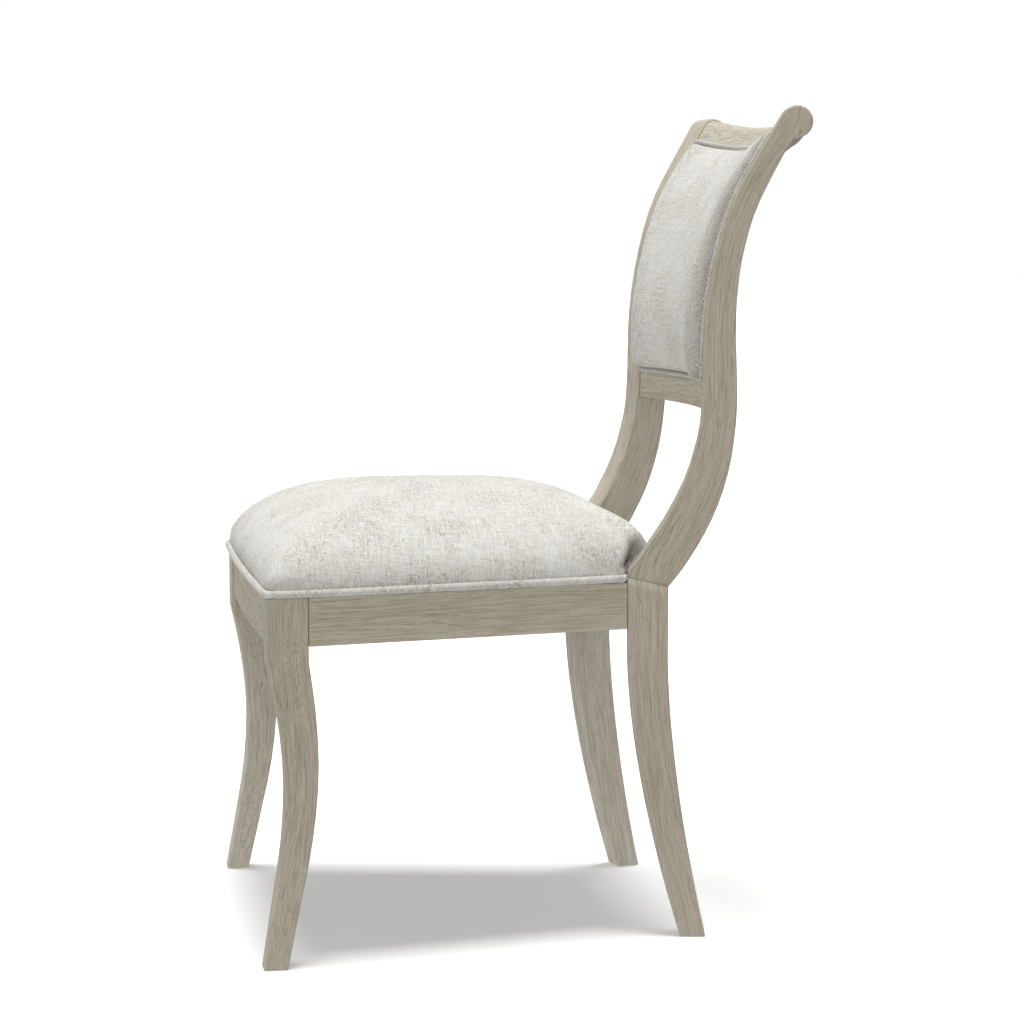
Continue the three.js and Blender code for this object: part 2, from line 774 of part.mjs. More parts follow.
function seatScrew(corner) {
  const seat = cornerPoint(corner, ...corner.shares.seat, blockBottom);
  const up = new THREE.Vector3(0, 0, 1);
  return {
    body: pointing(screwGeometry(seatScrewLength), seat.clone().setZ(blockBottom - seam), up),
    hole: pointing(screwHole(seatScrewLength, overrun), seat, up),
  };
}

const seatScrews = { front: seatScrew(corners.front), rear: seatScrew(corners.rear) };

function cornerBlockGeometry(name) {
  const corner = corners[name];
  const outline = [cornerPoint(corner, 0, 0, 0), cornerPoint(corner, 1, 0, 0), cornerPoint(corner, 0, 1, 0)]
    .map((p) => new THREE.Vector2(p.x, p.y));
  if (THREE.ShapeUtils.area(outline) < 0) outline.reverse();
  const legBox = name === 'front'
    ? box(blockInnerX - seam, blockOuterX, 0, frontBlockDepth + seam, railBottom, frameTop)
    : inFrame(
      box(-rearLegThickness - seam, 0, -seam, rearLegDepth, railBottom, frameTop), legFrame, chairFrame,
    );
  const holes = blockScrewPlaces.filter((s) => s.corner === name).map((s) => s.hole);
  return cut(raised(outline, blockBottom, blockTop), legBox, ...holes, seatScrews[name].hole);
}

// Outline of the seat in plan: lines that follow the frame at an inset, met in turn and rounded

const coverEdge = seatWeltDiameter - weltStandOut;
const notchGap = seatWeltDiameter + seam * 2;

function line(x, y, dx, dy) {
  return { x, y, dx, dy };
}

function meet(a, b) {
  const det = a.dx * b.dy - a.dy * b.dx;
  const t = ((b.x - a.x) * b.dy - (b.y - a.y) * b.dx) / det;
  return new THREE.Vector2(a.x + a.dx * t, a.y + a.dy * t);
}

function framedLine(frame, x, y, alongY) {
  const start = new THREE.Vector3(x, y, 0).applyMatrix4(frame);
  const way = new THREE.Vector3(alongY ? 0 : 1, alongY ? 1 : 0, 0).transformDirection(frame);
  return line(start.x, start.y, way.x, way.y);
}

// Right half from the middle of the front to the middle of the rear
function halfOutline(inset) {
  const edge = coverEdge + inset;
  const frontLine = line(0, edge, 1, 0);
  const blockLine = line(blockOuterX - edge, 0, 0, 1);
  const sideLine = framedLine(sideRailFrame, -edge, 0, true);
  const notchFront = framedLine(legFrame, 0, -notchGap - inset, false);
  const notchSide = framedLine(legFrame, -rearLegThickness - notchGap - inset, 0, true);
  const rearLine = line(0, rearRailBack - edge, 1, 0);
  return [
    { at: meet(frontLine, blockLine), radius: seatCornerRadius },
    { at: meet(blockLine, sideLine), radius: 0 },
    { at: meet(sideLine, notchFront), radius: notchCornerRadius },
    { at: meet(notchFront, notchSide), radius: notchCornerRadius },
    { at: meet(notchSide, rearLine), radius: notchCornerRadius },
  ];
}

function roundedCorner({ at, radius }, before, after) {
  if (radius === 0) return [at.clone()];
  const points = [];
  const start = before.clone().sub(at).setLength(radius).add(at);
  const end = after.clone().sub(at).setLength(radius).add(at);
  const curve = new THREE.QuadraticBezierCurve(start, at, end);
  return points.concat(curve.getPoints(cornerSteps));
}

function seatOutline(inset) {
  const half = halfOutline(inset);
  const front = new THREE.Vector2(0, half[0].at.y);
  const rear = new THREE.Vector2(0, half.at(-1).at.y);
  const stops = [front, ...half.map((c) => c.at), rear];
  const right = [front];
  half.forEach((corner, i) => right.push(...roundedCorner(corner, stops[i], stops[i + 2])));
  right.push(rear);
  const dense = [];
  right.slice(1).forEach((end, i) => {
    const start = right[i];
    const parts = Math.max(1, Math.round(start.distanceTo(end) / seatStep));
    for (let k = 0; k < parts; k += 1) dense.push(start.clone().lerp(end, k / parts));
  });
  dense.push(rear);
  const halfFront = half[0].at.x;
  dense.forEach((p) => {
    const share = Math.min(1, Math.abs(p.x) / halfFront);
    if (p.y < front.y + seatCornerRadius) p.y -= frontBow * (1 - share * share);
  });
  const left = dense.slice(1, -1).reverse().map((p) => new THREE.Vector2(-p.x, p.y));
  return [...dense, ...left];
}

// The seat's crowned form: an upright edge, then rings that shrink and round off towards the crown
function seatForm(inset, base, crown, shares) {
  const outline = seatOutline(inset);
  const centre = new THREE.Vector2(0, seatCrownSetback);
  const rings = shares.map((share) => {
    const height = base + seatSide + (crown - base - seatSide) * Math.sqrt(1 - share ** 3.2);
    const swell = share < 1 ? seatBulgeShare * share ** 8 : 0;
    return outline.map((p) => {
      const edge = p.clone().sub(centre);
      const angle = edge.angle();
      const radius = 1 / Math.hypot(Math.cos(angle) * 2 / crownWidth, Math.sin(angle) * 2 / crownDepth);
      const round = new THREE.Vector2(Math.cos(angle), Math.sin(angle)).multiplyScalar(radius);
      const flat = edge.lerp(round, 1 - share ** 0.75).multiplyScalar(share * (1 + swell)).add(centre);
      return new THREE.Vector3(flat.x, flat.y, height);
    });
  });
  const edgeRing = outline.map((p) => new THREE.Vector3(p.x, p.y, base));
  return loft([edgeRing, ...rings], new THREE.Vector3(centre.x, centre.y, crown));
}

const ringShares = [1, 0.997, 0.98, 0.93, 0.84, 0.7, 0.5, 0.25];
const coverBottom = frameTop + seam;
const boardTop = seatBoardBottom + seatBoardThickness;
const coverInside = coverThickness + seam;

function seatCoverGeometry() {
  const outside = seatForm(0, coverBottom, seatCrown, ringShares);
  const inside = seatForm(coverThickness, coverBottom + coverThickness, seatCrown - coverThickness, ringShares);
  const opening = raised(seatOutline(coverTurnUnder), coverBottom - overrun, coverBottom + overrun);
  return cut(outside, inside, opening);
}

function seatFoamGeometry() {
  const form = seatForm(coverInside, seatBoardBottom, seatCrown - coverInside, ringShares);
  const below = box(-frontWidth, frontWidth, -frontWidth, frontWidth * 2, 0, boardTop + seam);
  return cut(form, below);
}

function ventHoles() {
  const holes = [];
  for (const x of [-1, 0, 1]) {
    for (const y of [-1, 0, 1]) {
      const hole = new THREE.CylinderGeometry(ventRadius, ventRadius, seatBoardThickness + overrun * 2, glideSides);
      hole.rotateX(Math.PI / 2);
      hole.translate(x * ventPitch, seatCrownSetback + y * ventPitch, (seatBoardBottom + boardTop) / 2);
      holes.push(hole);
    }
  }
  return holes;
}

function bothSides(tools) {
  return [...tools, ...tools.map(mirrored)];
}

const seatScrewHoles = bothSides(Object.values(seatScrews).map((s) => s.hole));

function seatBoardGeometry() {
  const slab = raised(seatOutline(coverInside), seatBoardBottom, boardTop);
  const form = seatForm(coverInside, seatBoardBottom, seatCrown - coverInside, ringShares);
  return cut(common(slab, form), ...ventHoles(), ...seatScrewHoles);
}

function dustCoverGeometry() {
  const top = seatBoardBottom - seam;
  const outline = seatOutline(coverTurnUnder + dustCoverMargin);
  return cut(raised(outline, top - dustCoverThickness, top), ...seatScrewHoles);
}

// A cord bent into a closed loop. Facing gives the direction that one side of the cord keeps.
function cordLoop(points, radius, facing) {
  const count = points.length;
  const rings = points.map((p, i) => {
    const along = points[(i + 1) % count].clone().sub(points[(i + count - 1) % count]).normalize();
    const side = along.clone().cross(facing(i)).normalize();
    const up = side.clone().cross(along);
    const ring = [];
    for (let k = 0; k < weltSides; k += 1) {
      const angle = (Math.PI * 2 * (k + 0.5)) / weltSides;
      ring.push(p.clone().addScaledVector(side, radius * Math.cos(angle)).addScaledVector(up, radius * Math.sin(angle)));
    }
    return ring;
  });
  const faces = [];
  for (let i = 0; i < count; i += 1) {
    for (let k = 0; k < weltSides; k += 1) {
      const next = (k + 1) % weltSides;
      const a = i * weltSides;
      const b = ((i + 1) % count) * weltSides;
      faces.push([a + k, b + next, a + next], [a + k, b + k, b + next]);
    }
  }
  return geometryFrom(rings.flat(), faces);
}

function seatWeltGeometry() {
  const radius = seatWeltDiameter / 2;
  const z = coverBottom + radius;
  const points = seatOutline(-radius - seam).map((p) => new THREE.Vector3(p.x, p.y, z));
  return cordLoop(points, radius, () => new THREE.Vector3(0, 0, 1));
}

// A bowed board of the back, or its pad. Depths are behind the posts' front edges, and may change over the board.
function bowedBoard({ bottom, top, inset, heightShares, acrossShares, frontDepth, backDepth }) {
  const rows = heightShares.map((s) => frontAt(bottom + (top - bottom) * s));
  const sheet = (depth) => rows.map((row, i) => acrossShares.map((across, j) => {
    const level = heightShares[i] * 2 - 1;
    return backPoint(behind(row, depth(level, across)), across, inset);
  }));
  const front = sheet(frontDepth);
  const back = sheet(backDepth);
  const columns = acrossShares.length;
  const last = rows.length - 1;
  const points = [...front.flat(), ...back.flat()];
  const f = (i, j) => i * columns + j;
  const b = (i, j) => points.length / 2 + f(i, j);
  const faces = [];
  const quad = (p, q, r, s) => faces.push([p, q, r], [p, r, s]);
  for (let i = 0; i < last; i += 1) {
    for (let j = 0; j < columns - 1; j += 1) {
      quad(f(i, j), f(i, j + 1), f(i + 1, j + 1), f(i + 1, j));
      quad(b(i, j), b(i + 1, j), b(i + 1, j + 1), b(i, j + 1));
    }
    quad(f(i, 0), f(i + 1, 0), b(i + 1, 0), b(i, 0));
    quad(f(i, columns - 1), b(i, columns - 1), b(i + 1, columns - 1), f(i + 1, columns - 1));
  }
  for (let j = 0; j < columns - 1; j += 1) {
    quad(f(0, j), b(0, j), b(0, j + 1), f(0, j + 1));
    quad(f(last, j), f(last, j + 1), b(last, j + 1), b(last, j));
  }
  return geometryFrom(points, faces);
}

const boardHeightShares = [0, 0.05, 0.12, 0.26, 0.42, 0.58, 0.74, 0.88, 0.95, 1];
const evenShares = (count) => Array.from({ length: count + 1 }, (_, k) => k / count);
const acrossEven = evenShares(bowSteps).map((s) => s * 2 - 1);
const padHeightShares = [0, 0.01, ...boardHeightShares.slice(1, -1), 0.99, 1];
const padAcrossShares = [-1, -0.985, -0.94, ...acrossEven.slice(1, -1), 0.94, 0.985, 1];

const padBack = backRailRecess - seam;
const padInset = backWeltDiameter + seam * 3;

// A pad with upright sides and a crowned face, fuller at its foot than at its top
function padFace(skin) {
  const rise = (level) => Math.sqrt(Math.max(0, 1 - Math.abs(level) ** 8));
  return (level, across) => {
    const fullness = padProud * (1 - padThinningShare * ((level + 1) / 2) ** 2);
    const share = padEdgeShare + (1 - padEdgeShare) * rise(level) * rise(across);
    return padBack + skin - fullness * share;
  };
}

function padBody(skin, back) {
  return bowedBoard({
    bottom: padBottom + skin,
    top: padTop - skin,
    inset: padInset + skin,
    heightShares: padHeightShares,
    acrossShares: padAcrossShares,
    frontDepth: padFace(skin),
    backDepth: () => back,
  });
}

function flatBoard(skin, front, back) {
  return bowedBoard({
    bottom: padBottom + skin,
    top: padTop - skin,
    inset: padInset + skin,
    heightShares: boardHeightShares,
    acrossShares: acrossEven,
    frontDepth: () => front,
    backDepth: () => back,
  });
}

const backBoardFront = padBack - backBoardThickness;

function backCoverGeometry() {
  return cut(padBody(0, padBack), padBody(coverThickness, padBack + overrun));
}

function backBoardGeometry() {
  return cut(flatBoard(coverInside, backBoardFront, padBack), ...backScrews.map((s) => s.hole));
}

// The loop that a welt takes round a panel of the back, with its corners cut
const weltCornerShare = 0.8; // of the welt's radius

function backLoop(bottom, top, inset, depth, radius) {
  const corner = radius * weltCornerShare;
  const upCorner = corner / (top - bottom);
  const acrossCorner = corner / (rearLegX - rearLegThickness);
  const upShares = [upCorner, ...evenShares(8).slice(1, -1), 1 - upCorner];
  const acrossShares = [acrossCorner - 1, ...acrossEven.slice(1, -1), 1 - acrossCorner];
  const ways = [
    ...acrossShares.map((across) => [0, across]),
    ...upShares.map((up) => [up, 1]),
    ...acrossShares.toReversed().map((across) => [1, across]),
    ...upShares.toReversed().map((up) => [up, -1]),
  ];
  const fronts = ways.map(([up]) => frontAt(bottom + (top - bottom) * up));
  return {
    points: ways.map(([, across], i) => backPoint(behind(fronts[i], depth), across, inset)),
    facings: fronts.map(({ lean }) => new THREE.Vector3(0, -Math.cos(lean), Math.sin(lean))),
  };
}

function backWeltGeometry() {
  const radius = backWeltDiameter / 2;
  const loop = backLoop(padBottom - radius - seam, padTop + radius + seam, radius + seam, padBack - radius, radius);
  return cordLoop(loop.points, radius, (i) => loop.facings[i]);
}

// Outside back: a thin covered board in the rebates of the two rails

const rebateFloor = backRailRecess + backRailThickness - rebateDepth;
const outsideBottom = lowerRailTop - lowerRebateHeight + outsideWeltDiameter;
const outsideTop = crestBottom + crestRebateHeight - outsideWeltDiameter;
const outsideInset = outsideWeltDiameter + seam * 3;

function outsideBody(skin, front, back) {
  return bowedBoard({
    bottom: outsideBottom + skin,
    top: outsideTop - skin,
    inset: outsideInset + skin,
    heightShares: boardHeightShares,
    acrossShares: acrossEven,
    frontDepth: () => front,
    backDepth: () => back,
  });
}

const outsideFront = rebateFloor + seam;
const outsideBack = outsideFront + outsideBoardThickness;

function outsideCoverGeometry() {
  const skin = outsideBody(0, outsideFront, outsideBack + coverInside);
  return cut(skin, outsideBody(coverThickness, outsideFront - overrun, outsideBack + seam));
}

function outsideWeltGeometry() {
  const radius = outsideWeltDiameter / 2;
  const loop = backLoop(
    outsideBottom - radius - seam, outsideTop + radius + seam, radius + seam, outsideFront + radius, radius,
  );
  return cordLoop(loop.points, radius, (i) => loop.facings[i]);
}

// Screws through the rails into the back board

function backScrew(rail, height, across) {
  const front = frontAt(height);
  const seat = backPoint(behind(front, rebateFloor), across, seam);
  const direction = new THREE.Vector3(0, -Math.cos(front.lean), Math.sin(front.lean));
  return {
    rail,
    side: across > 0 ? 'left' : 'right',
    body: pointing(screwGeometry(backScrewLength), seat.clone().addScaledVector(direction, screwHeadHeight), direction),
    hole: pointing(
      screwHole(backScrewLength, overrun + screwHeadHeight), seat.clone().addScaledVector(direction, screwHeadHeight), direction,
    ),
  };
}

const backScrews = [];
for (const across of [-backScrewShare, backScrewShare]) {
  backScrews.push(backScrew('crest', crestBottom + crestRebateHeight / 2, across));
  backScrews.push(backScrew('lower', lowerRailTop - crestRebateHeight / 2, across));
}

// Assembly

const chair = new THREE.Group();

function add(name, geometry, material, frame = chairFrame) {
  const flat = geometry.index ? geometry.toNonIndexed() : geometry;
  flat.computeVertexNormals();
  const mesh = new THREE.Mesh(flat, material);
  mesh.name = name;
  mesh.applyMatrix4(frame);
  chair.add(mesh);
}

function mirroredFrame(frame) {
  const flip = new THREE.Matrix4().makeScale(-1, 1, 1);
  return flip.clone().multiply(frame).multiply(flip);
}

function addPair(name, geometry, material, frame = chairFrame) {
  add(`${name}_left`, geometry, material, frame);
  add(`${name}_right`, mirrored(geometry), material, mirroredFrame(frame));
}

addPair('front_leg', frontLegGeometry(), oak);
addPair('rear_leg', rearLegGeometry(), oak, legFrame);
addPair('back_post', postGeometry(), oak, legFrame);
addPair('post_tenon', postTenon(0), oak, legFrame);
addPair('side_rail', sideRailGeometry(), oak, sideRailFrame);
add('front_rail', frontRailGeometry(), oak);
add('rear_rail', rearRailGeometry(), oak);
add('crest_rail', crestGeometry(), oak);
add('lower_back_rail', lowerRailGeometry(), oak);
addPair('corner_block_front', cornerBlockGeometry('front'), birchPly);
addPair('corner_block_rear', cornerBlockGeometry('rear'), birchPly);
blockScrewPlaces.forEach(({ corner, rail, body }) => addPair(`block_screw_${corner}_in_${rail}_rail`, body, zinc));
addPair('seat_screw_front', seatScrews.front.body, zinc);
addPair('seat_screw_rear', seatScrews.rear.body, zinc);
add('seat_board', seatBoardGeometry(), birchPly);
add('seat_foam', seatFoamGeometry(), foam);
add('seat_cover', seatCoverGeometry(), linen);
add('seat_welt', seatWeltGeometry(), linen);
add('seat_dust_cover', dustCoverGeometry(), cambric);
add('back_board', backBoardGeometry(), birchPly);
add('back_foam', padBody(coverInside, backBoardFront - seam), foam);
add('back_cover', backCoverGeometry(), linen);
add('back_welt', backWeltGeometry(), linen);
add('outside_back_board', outsideBody(coverInside, outsideFront, outsideBack), birchPly);
add('outside_back_cover', outsideCoverGeometry(), linen);
add('outside_back_welt', outsideWeltGeometry(), linen);
backScrews.forEach(({ rail, side, body }) => add(`back_screw_${rail}_${side}`, body, zinc));
const glide = glideGeometry(0);
addPair('foot_glide_front', glide, nylon, new THREE.Matrix4().setPosition(frontFootX, frontFootY, 0));
addPair(
  'foot_glide_rear', glide, nylon,
  legFrame.clone().multiply(
    new THREE.Matrix4().setPosition(-rearFootThickness / 2, rearFootRake + rearFootDepth / 2, 0),
  ),
);

// The origin is the middle of the chair's box, on the floor
const middle = new THREE.Box3().setFromObject(chair, true).getCenter(new THREE.Vector3());
chair.position.set(-middle.x, -middle.y, 0);

const part = new THREE.Group();
part.add(chair);

export default part;
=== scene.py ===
import json
from math import cos, exp, floor, hypot, pi, radians, sin, sqrt

import bmesh
import bpy
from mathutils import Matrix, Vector
from mathutils.bvhtree import BVHTree

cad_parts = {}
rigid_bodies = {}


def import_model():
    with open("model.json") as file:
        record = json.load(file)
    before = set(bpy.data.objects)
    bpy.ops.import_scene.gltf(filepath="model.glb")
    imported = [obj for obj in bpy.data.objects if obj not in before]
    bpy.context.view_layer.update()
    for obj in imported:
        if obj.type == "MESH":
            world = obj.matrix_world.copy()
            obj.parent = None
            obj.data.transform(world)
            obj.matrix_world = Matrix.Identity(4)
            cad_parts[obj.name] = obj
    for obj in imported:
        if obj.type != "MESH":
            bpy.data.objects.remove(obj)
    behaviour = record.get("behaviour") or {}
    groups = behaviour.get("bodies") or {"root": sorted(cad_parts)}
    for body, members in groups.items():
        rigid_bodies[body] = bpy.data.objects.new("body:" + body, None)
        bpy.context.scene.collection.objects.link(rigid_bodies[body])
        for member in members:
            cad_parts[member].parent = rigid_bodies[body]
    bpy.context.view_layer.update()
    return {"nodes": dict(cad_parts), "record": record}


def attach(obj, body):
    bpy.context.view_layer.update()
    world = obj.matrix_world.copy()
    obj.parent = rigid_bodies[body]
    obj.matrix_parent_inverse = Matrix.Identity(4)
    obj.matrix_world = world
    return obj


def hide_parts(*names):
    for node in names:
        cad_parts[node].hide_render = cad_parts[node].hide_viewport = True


for old in list(bpy.data.objects):
    bpy.data.objects.remove(old)

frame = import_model()
scene = bpy.context.scene
print("loaded", len(frame["nodes"]), "nodes")


# Shader maths on sockets

class Value:
    def __init__(self, shader, socket):
        self.shader = shader
        self.socket = socket

    def maths(self, operation, *others):
        return self.shader.add("ShaderNodeMath", {"operation": operation}, dict(enumerate((self, *others))))

    def __add__(self, other):
        return self.maths("ADD", other)

    __radd__ = __add__

    def __mul__(self, other):
        return self.maths("MULTIPLY", other)

    __rmul__ = __mul__

    def __sub__(self, other):
        return self.maths("SUBTRACT", other)

    def __rsub__(self, other):
        return self.shader.add("ShaderNodeMath", {"operation": "SUBTRACT"}, {0: other, 1: self})

    def __truediv__(self, other):
        return self.maths("DIVIDE", other)

    def wave(self):  # up from 0 to 1 and down again, once for each whole number
        return self.maths("PINGPONG", 0.5) * 2

    def clamped(self):
        return self.shader.add("ShaderNodeClamp", None, {0: self})

    def between(self, low, high):  # 0 at low, 1 at high, smooth between them
        return self.shader.add(
            "ShaderNodeMapRange", {"interpolation_type": "SMOOTHSTEP"},
            {"Value": self, "From Min": low, "From Max": high, "To Min": 0, "To Max": 1})


class Shader:
    def __init__(self, owner):  # the owner is a material or a world
        owner.use_nodes = True
        self.owner = owner
        self.nodes = owner.node_tree.nodes
        self.links = owner.node_tree.links

    def add(self, kind, settings=None, values=None, output=0):
        node = self.nodes.new(kind)
        for key, value in (settings or {}).items():
            setattr(node, key, value)
        for key, value in (values or {}).items():
            self.feed(node.inputs[key], value)
        return Value(self, node.outputs[output])

    def feed(self, socket, value):
        if isinstance(value, Value):
            self.links.new(value.socket, socket)
        elif hasattr(value, "__len__") and len(value) == 3 and socket.type == "RGBA":
            socket.default_value = (*value, 1)
        else:
            socket.default_value = value

    def attribute(self, name):
        return self.add("ShaderNodeAttribute", {"attribute_name": name}, output="Vector")

    def place(self):
        return self.add("ShaderNodeTexCoord", output="Object")

    def scaled(self, vector, scales):
        return self.add("ShaderNodeVectorMath", {"operation": "MULTIPLY"}, {0: vector, 1: scales})

    def parts(self, vector):
        node = self.add("ShaderNodeSeparateXYZ", None, {0: vector}).socket.node
        return [Value(self, s) for s in node.outputs]

    def vector(self, x, y, z):
        return self.add("ShaderNodeCombineXYZ", None, {0: x, 1: y, 2: z})

    def noise(self, vector, scale=1, detail=2, roughness=0.5):
        return self.add(
            "ShaderNodeTexNoise", {"normalize": True},
            {"Vector": vector, "Scale": scale, "Detail": detail, "Roughness": roughness})

    def cells(self, vector, scale=1):
        return self.add("ShaderNodeTexVoronoi", {"feature": "F1"}, {"Vector": vector, "Scale": scale})

    def mix(self, factor, a, b, blend="MIX"):
        return self.add(
            "ShaderNodeMix", {"data_type": "RGBA", "blend_type": blend}, {0: factor, 6: a, 7: b}, output=2)


class Finish(Shader):
    def __init__(self, name, fixed):
        super().__init__(bpy.data.materials.new(name))
        self.surface = self.nodes["Principled BSDF"].inputs
        for key, value in fixed.items():
            self.feed(self.surface[key], value)

    def made(self, colour, roughness=None, bump=None):  # a bump is a height, its depth in metres and its strength
        self.feed(self.surface["Base Color"], colour)
        if roughness is not None:
            self.feed(self.surface["Roughness"], roughness)
        if bump is not None:
            values = dict(zip(("Height", "Distance", "Strength"), bump))
            self.feed(self.surface["Normal"], self.add("ShaderNodeBump", None, values))
        return self.owner


# Show wood: greyed, open-grained oak. Grain is x along the board, y across it and z through it, in metres.

oak = {
    "light": (0.485, 0.438, 0.347),
    "middle": (0.405, 0.362, 0.278),
    "dark": (0.262, 0.227, 0.162),
    "pore": (0.165, 0.139, 0.094),
    "wash": (0.515, 0.474, 0.388),
    "ringCount": 26,  # over the whole range of the noise that they are cut from
    "archesAlong": 88,  # arches in a metre of the board
    "archesAcross": 11500,  # the more, the narrower the arches
    "bendAcross": 0.0045,  # how far the grain strays, in metres
    "bendThrough": 0.003,
    "bump": 0.00035,
}

# How often each part of the figure changes in a metre along the board, across it and through it
figure = {
    "bend": (4, 22, 22),
    "cloud": (3.5, 24, 24),
    "tone": (2.6, 90, 90),
    "fibre": (18, 640, 640),
    "dust": (420, 900, 900),
    "uneven": (22, 60, 60),
    "rings": (1.5, 30, 26),
    "pores": (75, 1250, 1250),
    "streaks": (22, 480, 480),
    "streakPatches": (9, 60, 60),
    "knots": (11, 30, 30),
}


def lateWood(rings):
    ring = rings.maths("FRACT")
    return ring.between(0.45, 0.85) * (1 - ring.between(0.88, 1))


# Heart is the place from the middle of a board's arched figure, along and across, and how strongly it shows there
def oakMaterial():
    s = Finish("oak", {"Roughness": 0.7, "Specular IOR Level": 0.32})
    grain = s.attribute("grain")
    along, across, through = s.parts(grain)
    bend = s.noise(s.scaled(grain, figure["bend"]), detail=1) - 0.5
    wavy = s.vector(along, across + bend * oak["bendAcross"], through + bend * oak["bendThrough"])
    cloud = s.noise(s.scaled(grain, figure["cloud"]))
    tone = s.noise(s.scaled(wavy, figure["tone"]), detail=3, roughness=0.6)
    fibre = s.noise(s.scaled(wavy, figure["fibre"]), detail=3, roughness=0.65)
    dust = s.noise(s.scaled(grain, figure["dust"]), detail=1)
    heartAlong, heartAcross, heart = s.parts(s.attribute("heart"))
    uneven = s.noise(s.scaled(grain, figure["uneven"]), detail=1)
    rings = s.noise(s.scaled(wavy, figure["rings"]), detail=0.6, roughness=0.4) * oak["ringCount"]
    arches = heartAlong * oak["archesAlong"] + heartAcross * heartAcross * oak["archesAcross"] + uneven * 6 + 40
    late = lateWood(rings) * cloud.between(0.4, 0.62) * 0.75 * (1 - heart)
    late = late + lateWood(arches) * heart * uneven.between(0.2, 0.5) * 1.1
    pores = s.noise(s.scaled(wavy, figure["pores"]), detail=1)
    pore = pores.between(0.58, 0.68) * (0.4 + late * 0.6)
    streaks = s.noise(s.scaled(wavy, figure["streaks"]), roughness=0.6)
    streakPatches = s.noise(s.scaled(wavy, figure["streakPatches"]), detail=1)
    streak = streaks.between(0.57, 0.68) * streakPatches.between(0.46, 0.66)
    knots = s.cells(s.scaled(grain, figure["knots"]))
    colour = s.mix(tone.between(0.15, 0.85), oak["middle"], oak["light"])
    colour = s.mix(cloud.between(0.45, 0.7) * 0.3, colour, oak["wash"])
    colour = s.mix(late * 0.4, colour, oak["dark"])
    colour = s.mix(fibre.between(0.5, 0.6) * 0.44, colour, oak["dark"])
    colour = s.mix(fibre.between(0.49, 0.39) * 0.46, colour, oak["wash"])
    colour = s.mix(dust.between(0.5, 0.66) * 0.26, colour, oak["dark"])
    colour = s.mix(streak * 0.4, colour, oak["pore"])
    colour = s.mix(pore * 0.6, colour, oak["pore"])
    colour = s.mix((1 - knots.between(0.02, 0.06)) * 0.6, colour, oak["pore"])
    colour = s.scaled(colour, s.attribute("board"))
    height = fibre * 0.6 - pore * 0.9 - late * 0.25 - streak * 0.3
    return s.made(colour, 0.62 + fibre * 0.16 + pore * 0.1, (height, oak["bump"], 0.8))


# Upholstery: an off-white slub linen. Weave is the place on the cloth, in metres, and how far that is into a side or,
# on the seat, how much painted shade it has in a fold and near its base.

linen = {
    "ground": (0.75, 0.73, 0.68),
    "bright": (0.9, 0.892, 0.86),
    "grey": (0.4, 0.382, 0.338),
    "tan": (0.38, 0.306, 0.194),
    # colour of the painted shade in the seat's folds and near its base
    "shade": (0.075, 0.07, 0.06),
    "yarn": 0.00105,  # from one yarn to the next
    "yarnStep": 0.73,  # sets a yarn's tone apart from the next one's
    "thread": 210,  # changes of tone in a metre of yarn
    "slub": (540, 130),  # short dark places in a metre across the yarns and along them
    "bar": (460, 34),  # long pale places
    "patches": 17,  # clusters of dark places in a metre of cloth
    "hues": 70,  # changes from grey to tan in a metre of cloth
    "fleck": 0.8,  # how strong the dark places are
    "gap": 0.25,  # how dark the painted shade is between the yarns
    "side": (0.001, 0.0055),  # where the twill of a side starts, and where it is full
    "twill": 0.0042,  # from one line of it to the next
    "drift": 90,  # bends of those lines in a metre of cloth
    "driftFar": 1.6,  # how far they bend, in lines
    "bump": 0.0004,
}


def yarnTone(s, across, along, seed):
    index = (across / linen["yarn"]).maths("FLOOR")
    thread = s.noise(s.vector(index * linen["yarnStep"] + seed, along * linen["thread"], seed), roughness=0.7)
    often, seldom = linen["slub"]
    slub = s.noise(s.vector(across * often + seed, along * seldom, seed), roughness=0.7)
    often, seldom = linen["bar"]
    bar = s.noise(s.vector(across * often + seed, along * seldom, seed), roughness=0.6)
    return thread, slub, bar


